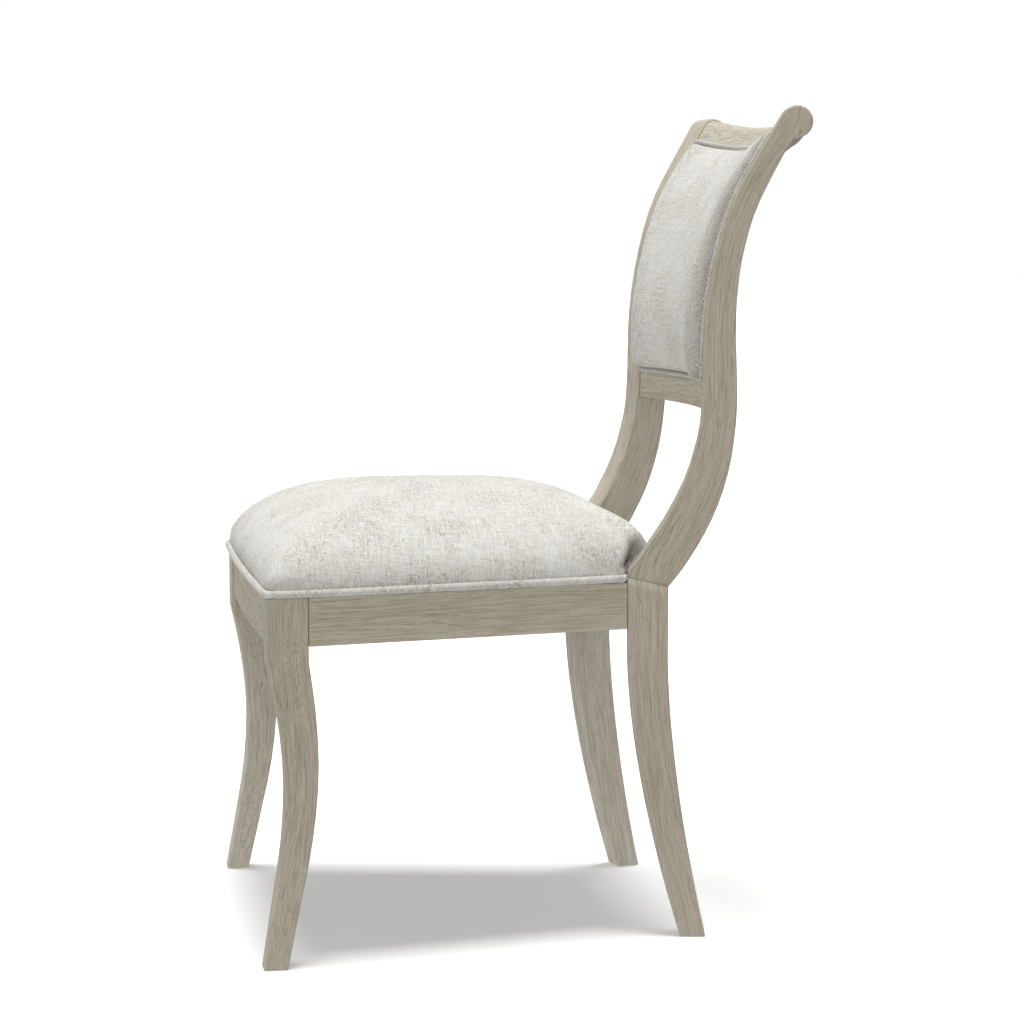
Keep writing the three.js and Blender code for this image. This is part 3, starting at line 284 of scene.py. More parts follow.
def linenMaterial(name, banded=False, withPaintedShade=False, shade=1):
    s = Finish(name, {"Roughness": 0.9, "Sheen Weight": 0.2, "Sheen Roughness": 0.5, "Specular IOR Level": 0.2})
    u, v, sideDepthOrPaintedShade = s.parts(s.attribute("weave"))
    warp, warpSlub, warpBar = yarnTone(s, u, v, 3.1)
    weft, weftSlub, weftBar = yarnTone(s, v, u, 17.7)
    phaseU = u / linen["yarn"]
    phaseV = v / linen["yarn"]
    parity = s.add("ShaderNodeTexChecker", None, {"Vector": s.vector(phaseU, phaseV, 0.5), "Scale": 1}, output="Fac")
    hollowU = 1 - phaseU.wave()
    hollowV = 1 - phaseV.wave()
    height = (1 - hollowU * hollowU) * parity + (1 - hollowV * hollowV) * (1 - parity)
    tone = warp * parity + weft * (1 - parity)
    patch = s.noise(s.vector(u * linen["patches"], v * linen["patches"], 4.2), detail=4, roughness=0.6)
    fleck = tone.between(0.5, 0.62) * 0.5 + warpSlub.between(0.54, 0.66) * 0.6 + weftSlub.between(0.54, 0.66) * 0.75
    fleck = (fleck * (0.3 + patch.between(0.38, 0.62) * 0.7)).clamped()
    pale = (warpBar.between(0.54, 0.44) * 0.55 + weftBar.between(0.54, 0.44) * 0.55).clamped()
    hue = s.noise(s.vector(u * linen["hues"], v * linen["hues"], 9.4))
    dark = s.mix(hue.between(0.34, 0.52), linen["grey"], linen["tan"])
    colour = s.mix(pale, linen["ground"], linen["bright"])
    colour = s.mix(fleck * linen["fleck"], colour, dark)
    # painted shade between the yarns, where the weave is low
    colour = s.mix((1 - height) * linen["gap"], colour, linen["grey"])
    if banded:
        drift = s.noise(s.vector(u * linen["drift"], v * linen["drift"], 2.2))
        twill = ((u + v) / linen["twill"] + drift * linen["driftFar"]).wave()
        line = (twill * 0.62 + weftSlub * 0.38).between(0.36, 0.62)
        colour = s.mix(sideDepthOrPaintedShade.between(*linen["side"]) * (line * 0.7 + 0.05), colour, linen["grey"])
    # painted shade, in the seat's folds and near its base
    if withPaintedShade:
        colour = s.mix(sideDepthOrPaintedShade, colour, linen["shade"])
    # painted shade: the whole cloth painted darker
    if shade < 1:
        colour = s.mix(1, colour, (shade, shade, shade * 0.985), "MULTIPLY")
    bump = (height + (warpSlub + weftSlub) * 0.35, linen["bump"], 0.8)
    return s.made(colour, 0.93 - height * 0.08, bump)


# Finishes of the small and hidden pieces, each with the two colours between which it changes

insides = {
    "plywood": ((0.5, 0.36, 0.19), (0.66, 0.5, 0.29)),
    "glueLine": (0.3, 0.2, 0.1),
    "veneer": 0.0016,  # thickness of one ply
    "foam": ((0.85, 0.79, 0.52), (0.7, 0.62, 0.36)),
    "cambric": ((0.012, 0.012, 0.013), (0.034, 0.034, 0.037)),
    "zinc": ((0.44, 0.46, 0.48), (0.6, 0.6, 0.58)),
    "nylon": ((0.13, 0.105, 0.078), (0.17, 0.138, 0.102)),
}


def plyMaterial():
    s = Finish("birchPlywood", {"Roughness": 0.62})
    place = s.place()
    tone = s.noise(s.scaled(place, (14, 170, 60)), detail=3, roughness=0.6)
    ply = (s.parts(place)[2] / insides["veneer"]).wave()
    colour = s.mix(tone.between(0.3, 0.7), *insides["plywood"])
    colour = s.mix(ply.between(0.7, 0.9) * 0.25, colour, insides["glueLine"])
    return s.made(colour, 0.55 + tone * 0.15, (tone, 0.0003, 0.5))


def foamMaterial():
    s = Finish("foam", {"Roughness": 0.95})
    cells = s.cells(s.place(), 900)
    return s.made(s.mix(cells, *insides["foam"]), None, (cells, 0.0008, 0.8))


def cambricMaterial():
    s = Finish("cambric", {"Roughness": 0.85})
    place = s.place()
    fleece = s.noise(place, 900, detail=3, roughness=0.7)
    press = s.cells(place, 620)
    return s.made(s.mix(fleece, *insides["cambric"]), 0.8 + fleece * 0.15, (press + fleece * 0.5, 0.0004, 0.7))


def zincMaterial():
    s = Finish("zincSteel", {"Roughness": 0.38, "Metallic": 1})
    place = s.place()
    spangle = s.cells(place, 500)
    stain = s.noise(place, 240, detail=3)
    return s.made(s.mix(stain, *insides["zinc"]), 0.3 + spangle * 0.25, (stain, 0.0001, 0.4))


def nylonMaterial():
    s = Finish("nylon", {"Roughness": 0.5})
    grain = s.noise(s.place(), 1400)
    return s.made(s.mix(grain, *insides["nylon"]), 0.42 + grain * 0.2, (grain, 0.0001, 0.4))


finishes = {
    "oak": oakMaterial(),
    "linen": linenMaterial("linen"),
    # the seat's linen, with painted shade in its folds and near its base
    "tuckedLinen": linenMaterial("tuckedLinen", withPaintedShade=True),
    "bandedLinen": linenMaterial("bandedLinen", banded=True),
    # the welts' linen, with a painted shade all over
    "weltLinen": linenMaterial("weltLinen", shade=0.81),
    "plywood": plyMaterial(),
    "foam": foamMaterial(),
    "dust_cloth": cambricMaterial(),
    "zinc_steel": zincMaterial(),
    "nylon": nylonMaterial(),
}
print("finishes made")


# Meshes

samePlace = 0.00001  # metres within which two points are one


def merged(node):  # the CAD solid as one skin, in a bmesh of its own
    bm = bmesh.new()
    bm.from_mesh(bpy.data.objects[node].data)
    bmesh.ops.remove_doubles(bm, verts=bm.verts, dist=samePlace)
    bm.normal_update()
    return bm


def showPiece(name, bm, material, node):
    mesh = bpy.data.meshes.new(name)
    bm.to_mesh(mesh)
    bm.free()
    mesh.shade_smooth()
    mesh.materials.append(material)
    piece = bpy.data.objects.new(name, mesh)
    scene.collection.objects.link(piece)
    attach(piece, "root")
    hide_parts(node)
    return piece


def writeVectors(mesh, name, vectors):
    layer = mesh.attributes.new(name, "FLOAT_VECTOR", "POINT")
    layer.data.foreach_set("vector", [n for v in vectors for n in v])


# Wood

wood = {
    "ease": 0.0006,  # radius worn on the edges
    "sharp": radians(30),  # from which an edge is worn
    "plain": radians(0.6),  # up to which two faces are one
    "square": 0.9,  # how squarely an end face looks up or down
    "slice": 0.011,  # height of the slices in which the grain turns with a curved piece
    "window": 2,  # slices on each side over which that turn is evened out
    "rightSeed": 0.47,  # sets a right piece's grain apart from the left one's
    "noHeart": (9, 0),
    "heartLength": 0.06,  # how far from its middle an arched figure shows
    "footPaintedLight": 0.1,  # how much paler a foot is painted at the floor, a painted light for the light from the floor
    "footHeight": 0.16,
    "paintedShadeFacing": Vector((0, 0.6, -0.8)),  # where the faces look that get the painted shade, under and behind a roll, where little light reaches
    "warmth": (1, 1.1, 1.3),  # powers of a board's tint in red, green and blue
}

# Turn is the direction in plan, in degrees, in which a leg or post bends or a rail runs. A flat curved piece is a bowed
# rail, whose length lies along x. The end that looks the tight way, up or down, meets another piece and isn't worn.
# Heart is the height and place of an arched figure's middle. Pale is how light a board is painted, on the left and on
# the right; the right-hand pieces, on the side the lamps reach less, and the crest, for its lit top, are painted
# lighter as painted light. The last setting is a painted shade: how much darker a board is painted on the faces that
# look down and back.
woodPieces = {
    "front_leg": {"turn": 0, "curved": True, "seed": 0.31, "heart": (0.322, -0.286), "pale": (0.97, 1.22)},
    "rear_leg": {"turn": 11.5, "curved": True, "seed": 1.73, "tight": 1, "pale": (1, 1.26)},
    "back_post": {"turn": 11.5, "curved": True, "seed": 2.9, "tight": -1, "pale": (0.97, 1.14)},
    "side_rail": {"turn": -11.7, "curved": False, "seed": 4.17, "pale": (1.04, 1.04)},
    "front_rail": {"turn": 0, "curved": True, "seed": 5.61, "flat": True},
    "rear_rail": {"turn": 90, "curved": False, "seed": 6.37},
    "crest_rail": {"turn": 0, "curved": True, "seed": 7.9, "flat": True, "pale": (1.24, 1.24), "paintedUnderShade": 0.6},
    "lower_back_rail": {"turn": 0, "curved": True, "seed": 9.05, "flat": True, "pale": (1.1, 1.1)},
    "post_tenon": {"turn": 11.5, "curved": False, "seed": 3.3},
}


def planWays(turn, side):  # the piece's own y and x in plan
    angle = radians(turn) * side
    return Vector((sin(angle), cos(angle), 0)), Vector((cos(angle), -sin(angle), 0))


def wornEdges(bm, tight):
    found = []
    for edge in bm.edges:
        if len(edge.link_faces) == 2 and edge.is_convex and edge.calc_face_angle(0) > wood["sharp"]:
            if not tight or max(f.normal.z * tight for f in edge.link_faces) < wood["square"]:
                found.append(edge)
    return found


def curvedGrain(bm, up, way, thick, seed):  # follows the middles of the slices
    spans = {}
    for vert in bm.verts:
        level = floor(vert.co.dot(up) / wood["slice"] + 0.5)
        place = vert.co.dot(way)
        low, high = spans.get(level, (place, place))
        spans[level] = (min(low, place), max(high, place))
    levels = sorted(spans)
    last = len(levels) - 1
    near = wood["window"]
    middles = [sum(spans[level]) / 2 for level in levels]
    windows = [middles[max(0, i - near):i + near + 1] for i in range(len(levels))]
    smooth = [sum(window) / len(window) for window in windows]
    lengths = [0]
    for i in range(1, len(levels)):
        rise = (levels[i] - levels[i - 1]) * wood["slice"]
        lengths.append(lengths[-1] + hypot(rise, smooth[i] - smooth[i - 1]))
    vectors = []
    for vert in bm.verts:
        height = vert.co.dot(up) / wood["slice"]
        i = 0
        while i < last - 1 and levels[i + 1] < height:
            i += 1
        share = (height - levels[i]) / (levels[i + 1] - levels[i])
        centre = smooth[i] + (smooth[i + 1] - smooth[i]) * share
        length = lengths[i] + (lengths[i + 1] - lengths[i]) * share
        before, after = max(0, i - near), min(last, i + near + 1)
        slope = (smooth[after] - smooth[before]) / ((levels[after] - levels[before]) * wood["slice"])
        off = (vert.co.dot(way) - centre) / sqrt(1 + slope * slope)
        vectors.append((length + off * slope + seed, off + seed, vert.co.dot(thick) + seed))
    return vectors


def timber(node, settings):
    side = -1 if node.endswith("_right") else 1
    way, thick = planWays(settings["turn"], side)
    bm = merged(node)
    bmesh.ops.dissolve_limit(bm, angle_limit=wood["plain"], verts=bm.verts, edges=bm.edges)
    bmesh.ops.bevel(
        bm, geom=wornEdges(bm, settings.get("tight")), offset=wood["ease"], segments=2, profile=0.5, affect="EDGES",
        material=-1, clamp_overlap=True)
    seed = settings["seed"] + (wood["rightSeed"] if side < 0 else 0)
    if settings["curved"]:
        up = Vector((0, 0, 1))
        if settings.get("flat"):
            up, thick = thick, up
        heights = [v.co.dot(up) for v in bm.verts]
        for k in range(floor(min(heights) / wood["slice"]) + 1, floor(max(heights) / wood["slice"]) + 1):
            bmesh.ops.bisect_plane(
                bm, geom=[*bm.verts, *bm.edges, *bm.faces], dist=samePlace, plane_co=up * (k * wood["slice"]),
                plane_no=up)
        vectors = curvedGrain(bm, up, way, thick, seed)
    else:
        vectors = [(v.co.dot(way) + seed, v.co.z + seed, v.co.dot(thick) + seed) for v in bm.verts]
    piece = showPiece(node + "_wood", bm, finishes["oak"], node)
    writeVectors(piece.data, "grain", vectors)
    # painted light: how much lighter this board is painted, most on the far side and on the crest
    pale = settings.get("pale", (1, 1))[side < 0]
    paintedUnderShade = settings.get("paintedUnderShade", 0)
    heartHeight, heartPlace = settings.get("heart", wood["noHeart"])
    hearts, boards = [], []
    for vert in piece.data.vertices:
        rise = vert.co.z - heartHeight
        hearts.append((rise, vert.co.dot(way) - heartPlace, max(0, 1 - (rise / wood["heartLength"]) ** 4)))
        # painted light from the floor: the board painted paler towards its foot, up to the foot height
        tint = pale + wood["footPaintedLight"] * max(0, 1 - vert.co.z / wood["footHeight"])
        # painted shade: the board painted darker on its faces that look down and back
        shade = 1 - paintedUnderShade * max(0, vert.normal.dot(wood["paintedShadeFacing"])) ** 2
        boards.append([tint ** power * shade for power in wood["warmth"]])
    writeVectors(piece.data, "heart", hearts)
    writeVectors(piece.data, "board", boards)
    soften = piece.modifiers.new("faces", "WEIGHTED_NORMAL")
    soften.keep_sharp = False


for kind, settings in woodPieces.items():
    for node in (kind, kind + "_left", kind + "_right"):
        if node in frame["nodes"]:
            timber(node, settings)
print("show wood made")


# Cushions: a closed form, remeshed, smoothed, grown a little and swollen as cloth while its base is held

padding = {
    "facing": 0.6,  # how squarely a face of the base looks its way
    "coverEdge": radians(75),  # of the square edge where the outside of a cover ends
    "quadAngle": radians(40),  # up to which two triangles make a quad
    "quadShape": radians(60),
    "baseGrow": 0.5,  # the base's share of the growth
    "frames": 20,  # of the simulation
    "quality": 5,
}

seatPad = {
    "cover": "seat_cover",
    "foam": "seat_foam",
    "fill": 0.85,
    "base": Vector((0, 0, -1)),  # the way that its base looks
    "foot": 0.4125,  # height of its base
    "crown": Vector((0, -0.0917, 0.516)),
    "voxel": 0.0045,
    "smooth": 6,
    "grow": 0.0025,
    "held": 0.007,  # how near the base it is held
    "pressure": 4,
    "cap": 0.008,  # that no point passes as it swells
    "spread": Vector((1.5, 1.5, 0.3)),  # by which the swelling is multiplied each way, before the cap
    # Rear corners, which lean back with the posts and are rounder
    "corner": Vector((0.165, 0.095)),
    "cornerWidth": 0.045,
    "cornerLean": 0.5,
    "cornerReach": 0.075,
    "cornerClear": 0.003,  # height above the foot of the fold from which they are smoothed
    "cornerSmooth": 14,
    # Fold beside each post, darkened with a painted shade, and a painted shade near the base of the cushion
    "under": "seat_dust_cover",
    "hemFacing": 0.9,
    "hemGap": 0.005,
    "hollow": 0.4127,
    # Fold beside each post
    "fold": Vector((0.187, 0.1035)),
    "foldLean": 0.5,
    "foldWidth": 0.013,
    "foldInward": 0.3,  # the less, the further it runs inward
    "foldReach": 2.5,  # in widths
    "foldFoot": 0.4225,
    "foldTop": 0.463,
    "foldStart": 6,  # how fast it deepens from its foot
    "foldDepth": 0.026,
    "foldWay": Vector((-0.97, -0.2)),
    # Painted shade: how dark the fold is painted and how far that spreads, how dark the cloth is painted near the base
    # and up to what height, and the darkest of it
    "foldShade": 1.15,
    "foldBlur": 0.78,
    "paintedFootShade": 0.2,
    "footFade": 0.045,
    "darkest": 0.95,
    # How its cloth hangs from the crown
    "halfWidth": 0.25,
    "halfDepth": 0.23,
    "squareness": 5,
    "bend": 0.07,
}
backPad = {
    "cover": "back_cover",
    "foam": "back_foam",
    "fill": 0.8,
    "base": Vector((0, 1, 0)),
    "foot": 0.64,
    "height": 0.28,
    "fullness": 0.034,
    "thinning": 0.4,  # share of the fullness that it loses towards its top
    "curl": 0.4,  # how much longer its cloth is than its height, from its curve
    "boardThickness": 0.0058,
    "coverThickness": 0.0015,
    "voxel": 0.004,
    "smooth": 1,
    "grow": 0.0006,
    "held": 0.006,
    "pressure": 4,
    "cap": 0.0035,
    "spread": Vector((1, 1, 1)),
}


def outerSkin(node, towards):  # from the point furthest towards a side, up to the cover's square edges
    bm = merged(node)
    first = max(bm.verts, key=lambda v: v.co.dot(towards))
    outer, fresh = set(first.link_faces), list(first.link_faces)
    while fresh:
        face = fresh.pop()
        for edge in face.edges:
            if edge.calc_face_angle(0) < padding["coverEdge"]:
                found = [f for f in edge.link_faces if f not in outer]
                outer.update(found)
                fresh.extend(found)
    bmesh.ops.delete(bm, geom=[f for f in bm.faces if f not in outer], context="FACES")
    return bm


def seatForm():
    bm = outerSkin(seatPad["cover"], -seatPad["base"])
    bmesh.ops.holes_fill(bm, edges=[e for e in bm.edges if e.is_boundary], sides=0)
    return bm


def backForm():  # the foam, grown by the cover and down over the edge of its board
    bm = merged(backPad["foam"])
    steps = []
    for vert in bm.verts:
        behind = [f.normal for f in vert.link_faces if f.normal.dot(backPad["base"]) > padding["facing"]]
        step = vert.normal * backPad["coverThickness"] * vert.calc_shell_factor()
        if behind:
            step += sum(behind, Vector()).normalized() * backPad["boardThickness"]
        steps.append(step)
    for vert, step in zip(bm.verts, steps):
        vert.co += step
    return bm


def smoothOut(bm, verts, times):
    for _ in range(times):
        bmesh.ops.smooth_vert(bm, verts=verts, factor=0.5, use_axis_x=True, use_axis_y=True, use_axis_z=True)


def creaseBase(bm, base):  # so that the edge round it stays when the form is subdivided
    crease = bm.edges.layers.float.new("crease_edge")
    for edge in bm.edges:
        facing = [f.normal.dot(base) > padding["facing"] for f in edge.link_faces]
        edge[crease] = 1 if len(facing) == 2 and facing[0] != facing[1] else 0


def baseTree(bm, base):
    under = bm.copy()
    others = [f for f in under.faces if f.normal.dot(base) < padding["facing"]]
    bmesh.ops.delete(under, geom=others, context="FACES")
    bmesh.ops.triangulate(under, faces=under.faces)
    tree = BVHTree.FromBMesh(under)
    under.free()
    return tree


def remeshed(piece, voxel):
    for kind in ("SIMPLE", "CATMULL_CLARK"):
        finer = piece.modifiers.new("finer", "SUBSURF")
        finer.subdivision_type = kind
        finer.levels = finer.render_levels = 1
    remesh = piece.modifiers.new("voxels", "REMESH")
    remesh.mode = "VOXEL"
    remesh.voxel_size = voxel
    posed = piece.evaluated_get(bpy.context.evaluated_depsgraph_get())
    fine = bmesh.new()
    fine.from_mesh(posed.to_mesh())
    posed.to_mesh_clear()
    piece.modifiers.clear()
    fine.normal_update()
    return fine


def fillCorners(fine, free, settings):
    def off(co):
        return (Vector((abs(co.x), co.y)) - settings["corner"]).length

    for vert in fine.verts:
        share = exp(-(off(vert.co) / settings["cornerWidth"]) ** 2)
        vert.co.y += settings["cornerLean"] * max(0, vert.co.z - settings["foot"]) * share
    lowest = settings["foldFoot"] + settings["cornerClear"]
    smoothOut(
        fine, [v for v in free if off(v.co) < settings["cornerReach"] and v.co.z > lowest], settings["cornerSmooth"])


def hollow(fine, settings):  # raises the base over the cloth under the seat, so that a hem is left round it
    under = BVHTree.FromBMesh(merged(settings["under"]))
    for vert in fine.verts:
        flat = vert.normal.dot(settings["base"]) > settings["hemFacing"]
        if flat and under.find_nearest(vert.co)[3] < settings["hemGap"]:
            vert.co.z = settings["hollow"]


def swell(piece, held, settings):
    base = piece.vertex_groups.new(name="base")
    base.add(held, 1, "REPLACE")
    scene.frame_set(1)
    start = [v.co.copy() for v in piece.data.vertices]
    cloth = piece.modifiers.new("cloth", "CLOTH")
    cloth.settings.use_pressure = True
    cloth.settings.uniform_pressure_force = settings["pressure"]
    cloth.settings.effector_weights.gravity = 0
    cloth.settings.vertex_group_mass = "base"
    cloth.settings.quality = padding["quality"]
    for step in range(1, padding["frames"] + 1):
        scene.frame_set(step)
    posed = piece.evaluated_get(bpy.context.evaluated_depsgraph_get())
    blown = [v.co.copy() for v in posed.data.vertices]
    piece.modifiers.remove(cloth)
    scene.frame_set(1)
    for vert, old, new in zip(piece.data.vertices, start, blown):
        step = (new - old) * settings["spread"]
        vert.co = old + step * (settings["cap"] / (settings["cap"] + step.length))
    piece.vertex_groups.remove(base)


def tuck(mesh, settings):  # folds the cushion in at each post, and gives how much painted shade each point of its cloth has
    shades = []
    for vert in mesh.vertices:
        rise = vert.co.z - settings["foot"]
        # painted shade near the base of the cushion
        shade = settings["paintedFootShade"] * max(0, 1 - rise / settings["footFade"])
        side = 1 if vert.co.x > 0 else -1
        across, back = Vector((vert.co.x * side, vert.co.y - settings["foldLean"] * rise)) - settings["fold"]
        off = hypot(across * settings["foldInward"], back) / settings["foldWidth"]
        height = (vert.co.z - settings["foldFoot"]) / (settings["foldTop"] - settings["foldFoot"])
        if off < settings["foldReach"] and 0 < height < 1:
            share = min(1, height * settings["foldStart"]) * (1 - height ** 3)
            inward, forward = settings["foldWay"]
            vert.co += Vector((side * inward, forward, 0)) * (settings["foldDepth"] * share * exp(-off * off))
            # painted shade in the fold
            shade = max(shade, settings["foldShade"] * share * exp(-(off * settings["foldBlur"]) ** 2))
        shades.append(Vector((0, 0, min(settings["darkest"], shade))))
    return shades


def cushion(name, bm, settings, weave, material):
    base = settings["base"]
    bmesh.ops.join_triangles(
        bm, faces=bm.faces, angle_face_threshold=padding["quadAngle"], angle_shape_threshold=padding["quadShape"],
        cmp_seam=False, cmp_sharp=False, cmp_uvs=False, cmp_vcols=False, cmp_materials=False)
    bm.normal_update()
    creaseBase(bm, base)
    underside = baseTree(bm, base)
    mesh = bpy.data.meshes.new(name)
    bm.to_mesh(mesh)
    bm.free()
    piece = bpy.data.objects.new(name, mesh)
    scene.collection.objects.link(piece)
    fine = remeshed(piece, settings["voxel"])
    held = {v.index for v in fine.verts if underside.find_nearest(v.co)[3] < settings["held"]}
    free = [v for v in fine.verts if v.index not in held]
    if "corner" in settings:
        fillCorners(fine, free, settings)
    smoothOut(fine, free, settings["smooth"])
    fine.normal_update()
    for vert in fine.verts:
        step = vert.normal * settings["grow"]
        step -= base * step.dot(base)
        vert.co += step * (padding["baseGrow"] if vert.index in held else 1)
    if "under" in settings:
        hollow(fine, settings)
    fine.to_mesh(piece.data)
    fine.free()
    swell(piece, sorted(held), settings)
    shades = tuck(piece.data, settings) if "fold" in settings else [Vector()] * len(piece.data.vertices)
    piece.data.shade_smooth()
    piece.data.materials.append(material)
    piece.data.update()
    vectors = [shade + Vector(weave(v.co, v.normal)) for v, shade in zip(piece.data.vertices, shades)]
    writeVectors(piece.data, "weave", vectors)
    rounder = piece.modifiers.new("rounder", "SUBSURF")
    rounder.levels = rounder.render_levels = 1
    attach(piece, "root")
    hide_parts(settings["cover"], settings["foam"])


# Cloth that goes over an edge keeps its length, so a point that lies lower also lies further out on the cloth
def seatWeave(co, normal):
    crown = seatPad["crown"]
    x, y = (co.x - crown.x) / seatPad["halfWidth"], (co.y - crown.y) / seatPad["halfDepth"]
    out = Vector((x ** seatPad["squareness"], y ** seatPad["squareness"], 0)).normalized()
    drop = max(0, crown.z - co.z)
    place = Vector((co.x, co.y, 0)) + out * (drop * drop / (drop + seatPad["bend"]))
    return (place.x, place.y, 0)


backBoard = BVHTree.FromBMesh(merged("back_board"))


def backWeave(co, normal):
    up = co.z - backPad["foot"]
    full = backPad["fullness"] * (1 - backPad["thinning"] * (up / backPad["height"]) ** 2)
    fall = max(0, full - backBoard.find_nearest(co)[3])
    return (co.x + fall * normal.x, co.z + backPad["curl"] * up * up + fall * normal.z, fall * abs(normal.x))


cushion("seat_cushion", seatForm(), seatPad, seatWeave, finishes["tuckedLinen"])
print("seat cushion made")
cushion("back_pad", backForm(), backPad, backWeave, finishes["bandedLinen"])
print("back pad made")


# Welts: piping in the same cloth, cut on the bias. Thicker is what is added to the radius.

piping = {
    "oneRing": 0.35,  # of the radius, within which points have one centre
    "order": 3,
    "fineness": 3,
    "roundness": 4,
    "bias": 0.707,
}

welts = {
    "seat_welt": {"radius": 0.0036, "thicker": 0.0008},
    "back_welt": {"radius": 0.0032, "thicker": 0},
    "outside_back_welt": {"radius": 0.0022, "thicker": 0},
}


def loopCentres(node, radius):
    bm = merged(node)
    rough = [v.co - v.normal * radius for v in bm.verts]
    bm.free()
    groups = []
    reach = radius * piping["oneRing"]
    for point in rough:
        near = next((g for g in groups if (sum(g, Vector()) / len(g) - point).length < reach), None)
        if near is None:
            groups.append([point])
        else:
            near.append(point)
    centres = [sum(g, Vector()) / len(g) for g in groups]
    order, left = [centres[0]], centres[1:]
    while left:
        nearest = min(left, key=lambda c: (c - order[-1]).length)
        order.append(nearest)
        left.remove(nearest)
    return order


def cordMesh(node, centres, settings):
    curve = bpy.data.curves.new(node, "CURVE")
    curve.dimensions = "3D"
    spline = curve.splines.new("NURBS")
    spline.points.add(len(centres) - 1)
    middle = sum(centres, Vector()) / len(centres)
    for point, centre in zip(spline.points, centres):
        out = (centre - middle).normalized()
        point.co = (*(centre + (out + Vector((0, 0, 1))) * settings["thicker"]), 1)
    spline.use_cyclic_u = True
    spline.order_u = piping["order"]
    spline.resolution_u = piping["fineness"]
    curve.bevel_depth = settings["radius"] + settings["thicker"]
    curve.bevel_resolution = piping["roundness"]
    draft = bpy.data.objects.new("draft", curve)
    scene.collection.objects.link(draft)
    bpy.context.view_layer.update()
    mesh = bpy.data.meshes.new_from_object(draft)
    bpy.data.objects.remove(draft)
    return mesh


def welt(node, settings):
    centres = loopCentres(node, settings["radius"])
    mesh = cordMesh(node, centres, settings)
    sides = 4 + 2 * piping["roundness"]
    rings = len(mesh.vertices) // sides
    middles = [sum((mesh.vertices[r * sides + k].co for k in range(sides)), Vector()) / sides for r in range(rings)]
    vectors, length = [], 0
    for r in range(rings):
        if r:
            length += (middles[r] - middles[r - 1]).length
        for k in range(sides):
            turned = 2 * pi * settings["radius"] * k / sides
            vectors.append(((length + turned) * piping["bias"], (length - turned) * piping["bias"], 0))
    bm = bmesh.new()
    bm.from_mesh(mesh)
    bpy.data.meshes.remove(mesh)
    bmesh.ops.recalc_face_normals(bm, faces=bm.faces)
    print(node, len(centres), "centres", rings, "rings", round(length, 3), "m")
    piece = showPiece(node + "_cord", bm, finishes["weltLinen"], node)
    writeVectors(piece.data, "weave", vectors)


for node, settings in welts.items():
    welt(node, settings)
print("welts made")


# Outside back: linen stretched over its thin board

outsideBack = {
    "cloth": 0.001,  # its thickness
    "slope": 1.08,  # length along the back for its height
}


def outsideCover():
    bm = outerSkin("outside_back_cover", Vector((0, 1, 0)))
    bmesh.ops.solidify(bm, geom=bm.faces, thickness=outsideBack["cloth"])
    bmesh.ops.recalc_face_normals(bm, faces=bm.faces)
    vectors = [(v.co.x, v.co.z * outsideBack["slope"], 0) for v in bm.verts]
    piece = showPiece("outside_back_linen", bm, finishes["linen"], "outside_back_cover")
    writeVectors(piece.data, "weave", vectors)


def dustCover():
    bm = merged("seat_dust_cover")
    piece = showPiece("seat_dust_cloth", bm, finishes["dust_cloth"], "seat_dust_cover")


outsideCover()
dustCover()
print("outside back and dust cover made")


# The nodes that stay as they are

slotOf = {p["node"]: p["material_slot"] for p in frame["record"]["subparts"]}
for name in frame["nodes"]:
    node = bpy.data.objects[name]
    if not node.hide_render:
        node.data.materials.clear()
        node.data.materials.append(finishes[slotOf[name]])
print("nodes dressed")


# Studio

studio = {
    "place": (3.372, -0.59657, 0.8122),
    "heading": 10,  # degrees from -X towards +Y
    "dip": 5.62,  # degrees that it looks down
    "lens": 101.29,
    "sensor": 36,
    "floor": 30,
    "paper": (0.2, 0.2, 0.2),  # as the light sees it; the camera sees it white
    "haze": 0.178,  # light that only the camera sees on the paper
    "bounce": 0.55,  # light from the paper that no shadow reaches
    "dome": 0.27,
}
whitest = (1, 1, 1)

# Each light's strength, how wide it looks, its height above the floor and its bearing round the chair, in degrees
lights = {
    "top": {"strength": 3.12, "angle": 22, "height": 88.9, "bearing": 50},
    "front": {"strength": 0.78, "angle": 60, "height": 12, "bearing": -95},
    "side": {"strength": 0.93, "angle": 40, "height": 5, "bearing": -5},
}

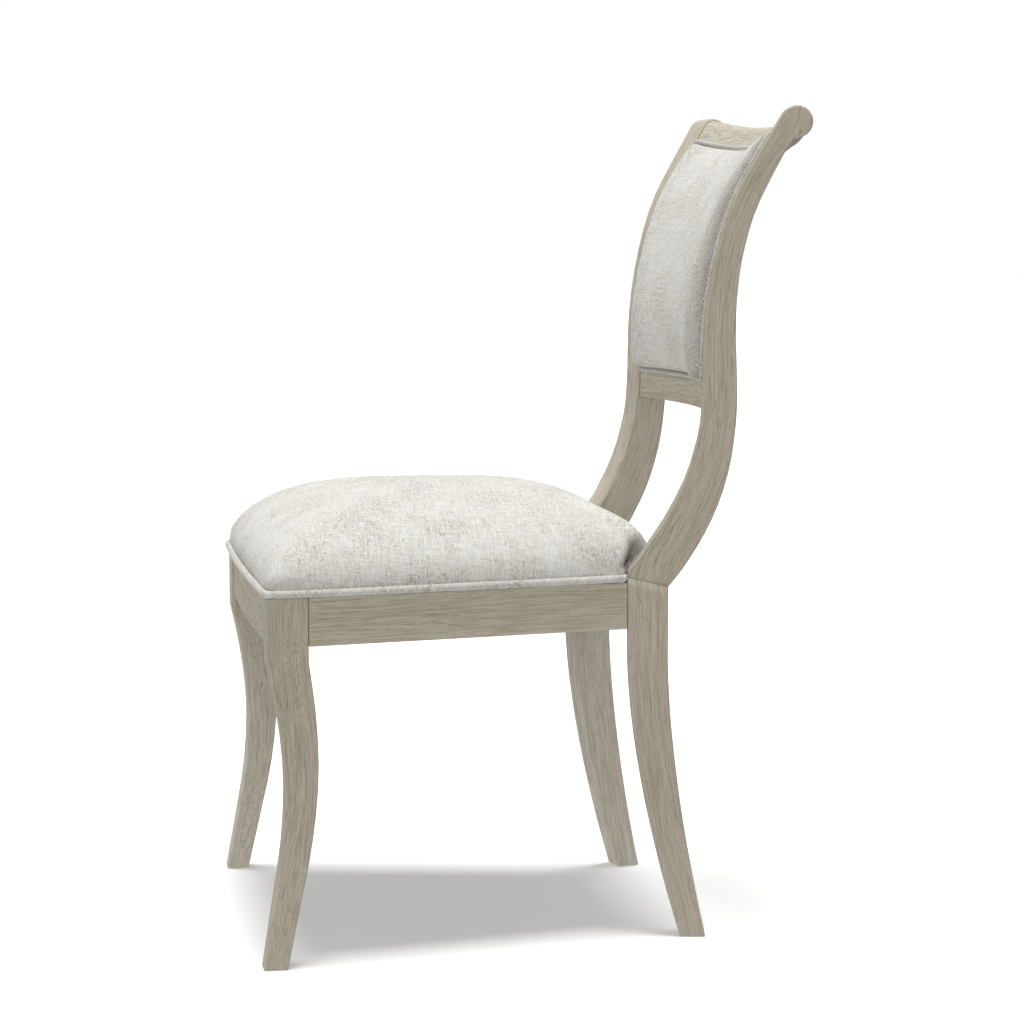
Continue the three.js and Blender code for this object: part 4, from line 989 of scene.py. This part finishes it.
floorMesh = bmesh.new()
bmesh.ops.create_grid(floorMesh, x_segments=1, y_segments=1, size=studio["floor"])
mesh = bpy.data.meshes.new("floor")
floorMesh.to_mesh(mesh)
floorMesh.free()
ground = bpy.data.objects.new("floor", mesh)
scene.collection.objects.link(ground)
paper = Finish("floorPaper", {"Roughness": 1, "Specular IOR Level": 0, "Emission Strength": 1})
seen = paper.add("ShaderNodeLightPath", output="Is Camera Ray")
paper.feed(paper.surface["Emission Color"], paper.mix(seen, (studio["bounce"],) * 3, (studio["haze"],) * 3))
mesh.materials.append(paper.made(paper.mix(seen, studio["paper"], whitest)))

sky = Shader(bpy.data.worlds.new("studio"))
scene.world = sky.owner
dome = sky.nodes["Background"]
sky.feed(dome.inputs["Color"], whitest)
sky.feed(dome.inputs["Strength"], studio["dome"])
white = sky.add("ShaderNodeBackground", None, {"Color": whitest, "Strength": 1})
rays = sky.add("ShaderNodeLightPath").socket.node.outputs
seenWhite = Value(sky, rays["Is Camera Ray"])
for kind in ("Is Glossy Ray", "Is Transmission Ray"):
    seenWhite = seenWhite.maths("MAXIMUM", Value(sky, rays[kind]))
blend = sky.add("ShaderNodeMixShader", None, {0: seenWhite, 1: Value(sky, dome.outputs[0]), 2: white})
sky.feed(sky.nodes["World Output"].inputs["Surface"], blend)

for name, light in lights.items():
    lamp = bpy.data.lights.new(name, "SUN")
    lamp.energy = light["strength"]
    lamp.angle = radians(light["angle"])
    holder = bpy.data.objects.new(name, lamp)
    height, bearing = radians(light["height"]), radians(light["bearing"])
    source = Vector((cos(height) * cos(bearing), cos(height) * sin(bearing), sin(height)))
    holder.rotation_euler = source.to_track_quat("Z", "Y").to_euler()
    scene.collection.objects.link(holder)

lens = bpy.data.cameras.new("camera")
lens.lens = studio["lens"]
lens.sensor_width = studio["sensor"]
camera = bpy.data.objects.new("camera", lens)
camera.location = studio["place"]
heading, dip = radians(studio["heading"]), radians(studio["dip"])
look = Vector((-cos(heading) * cos(dip), sin(heading) * cos(dip), -sin(dip)))
camera.rotation_euler = look.to_track_quat("-Z", "Y").to_euler()
scene.collection.objects.link(camera)
scene.camera = camera
scene.view_settings.view_transform = "Standard"
print("studio set")
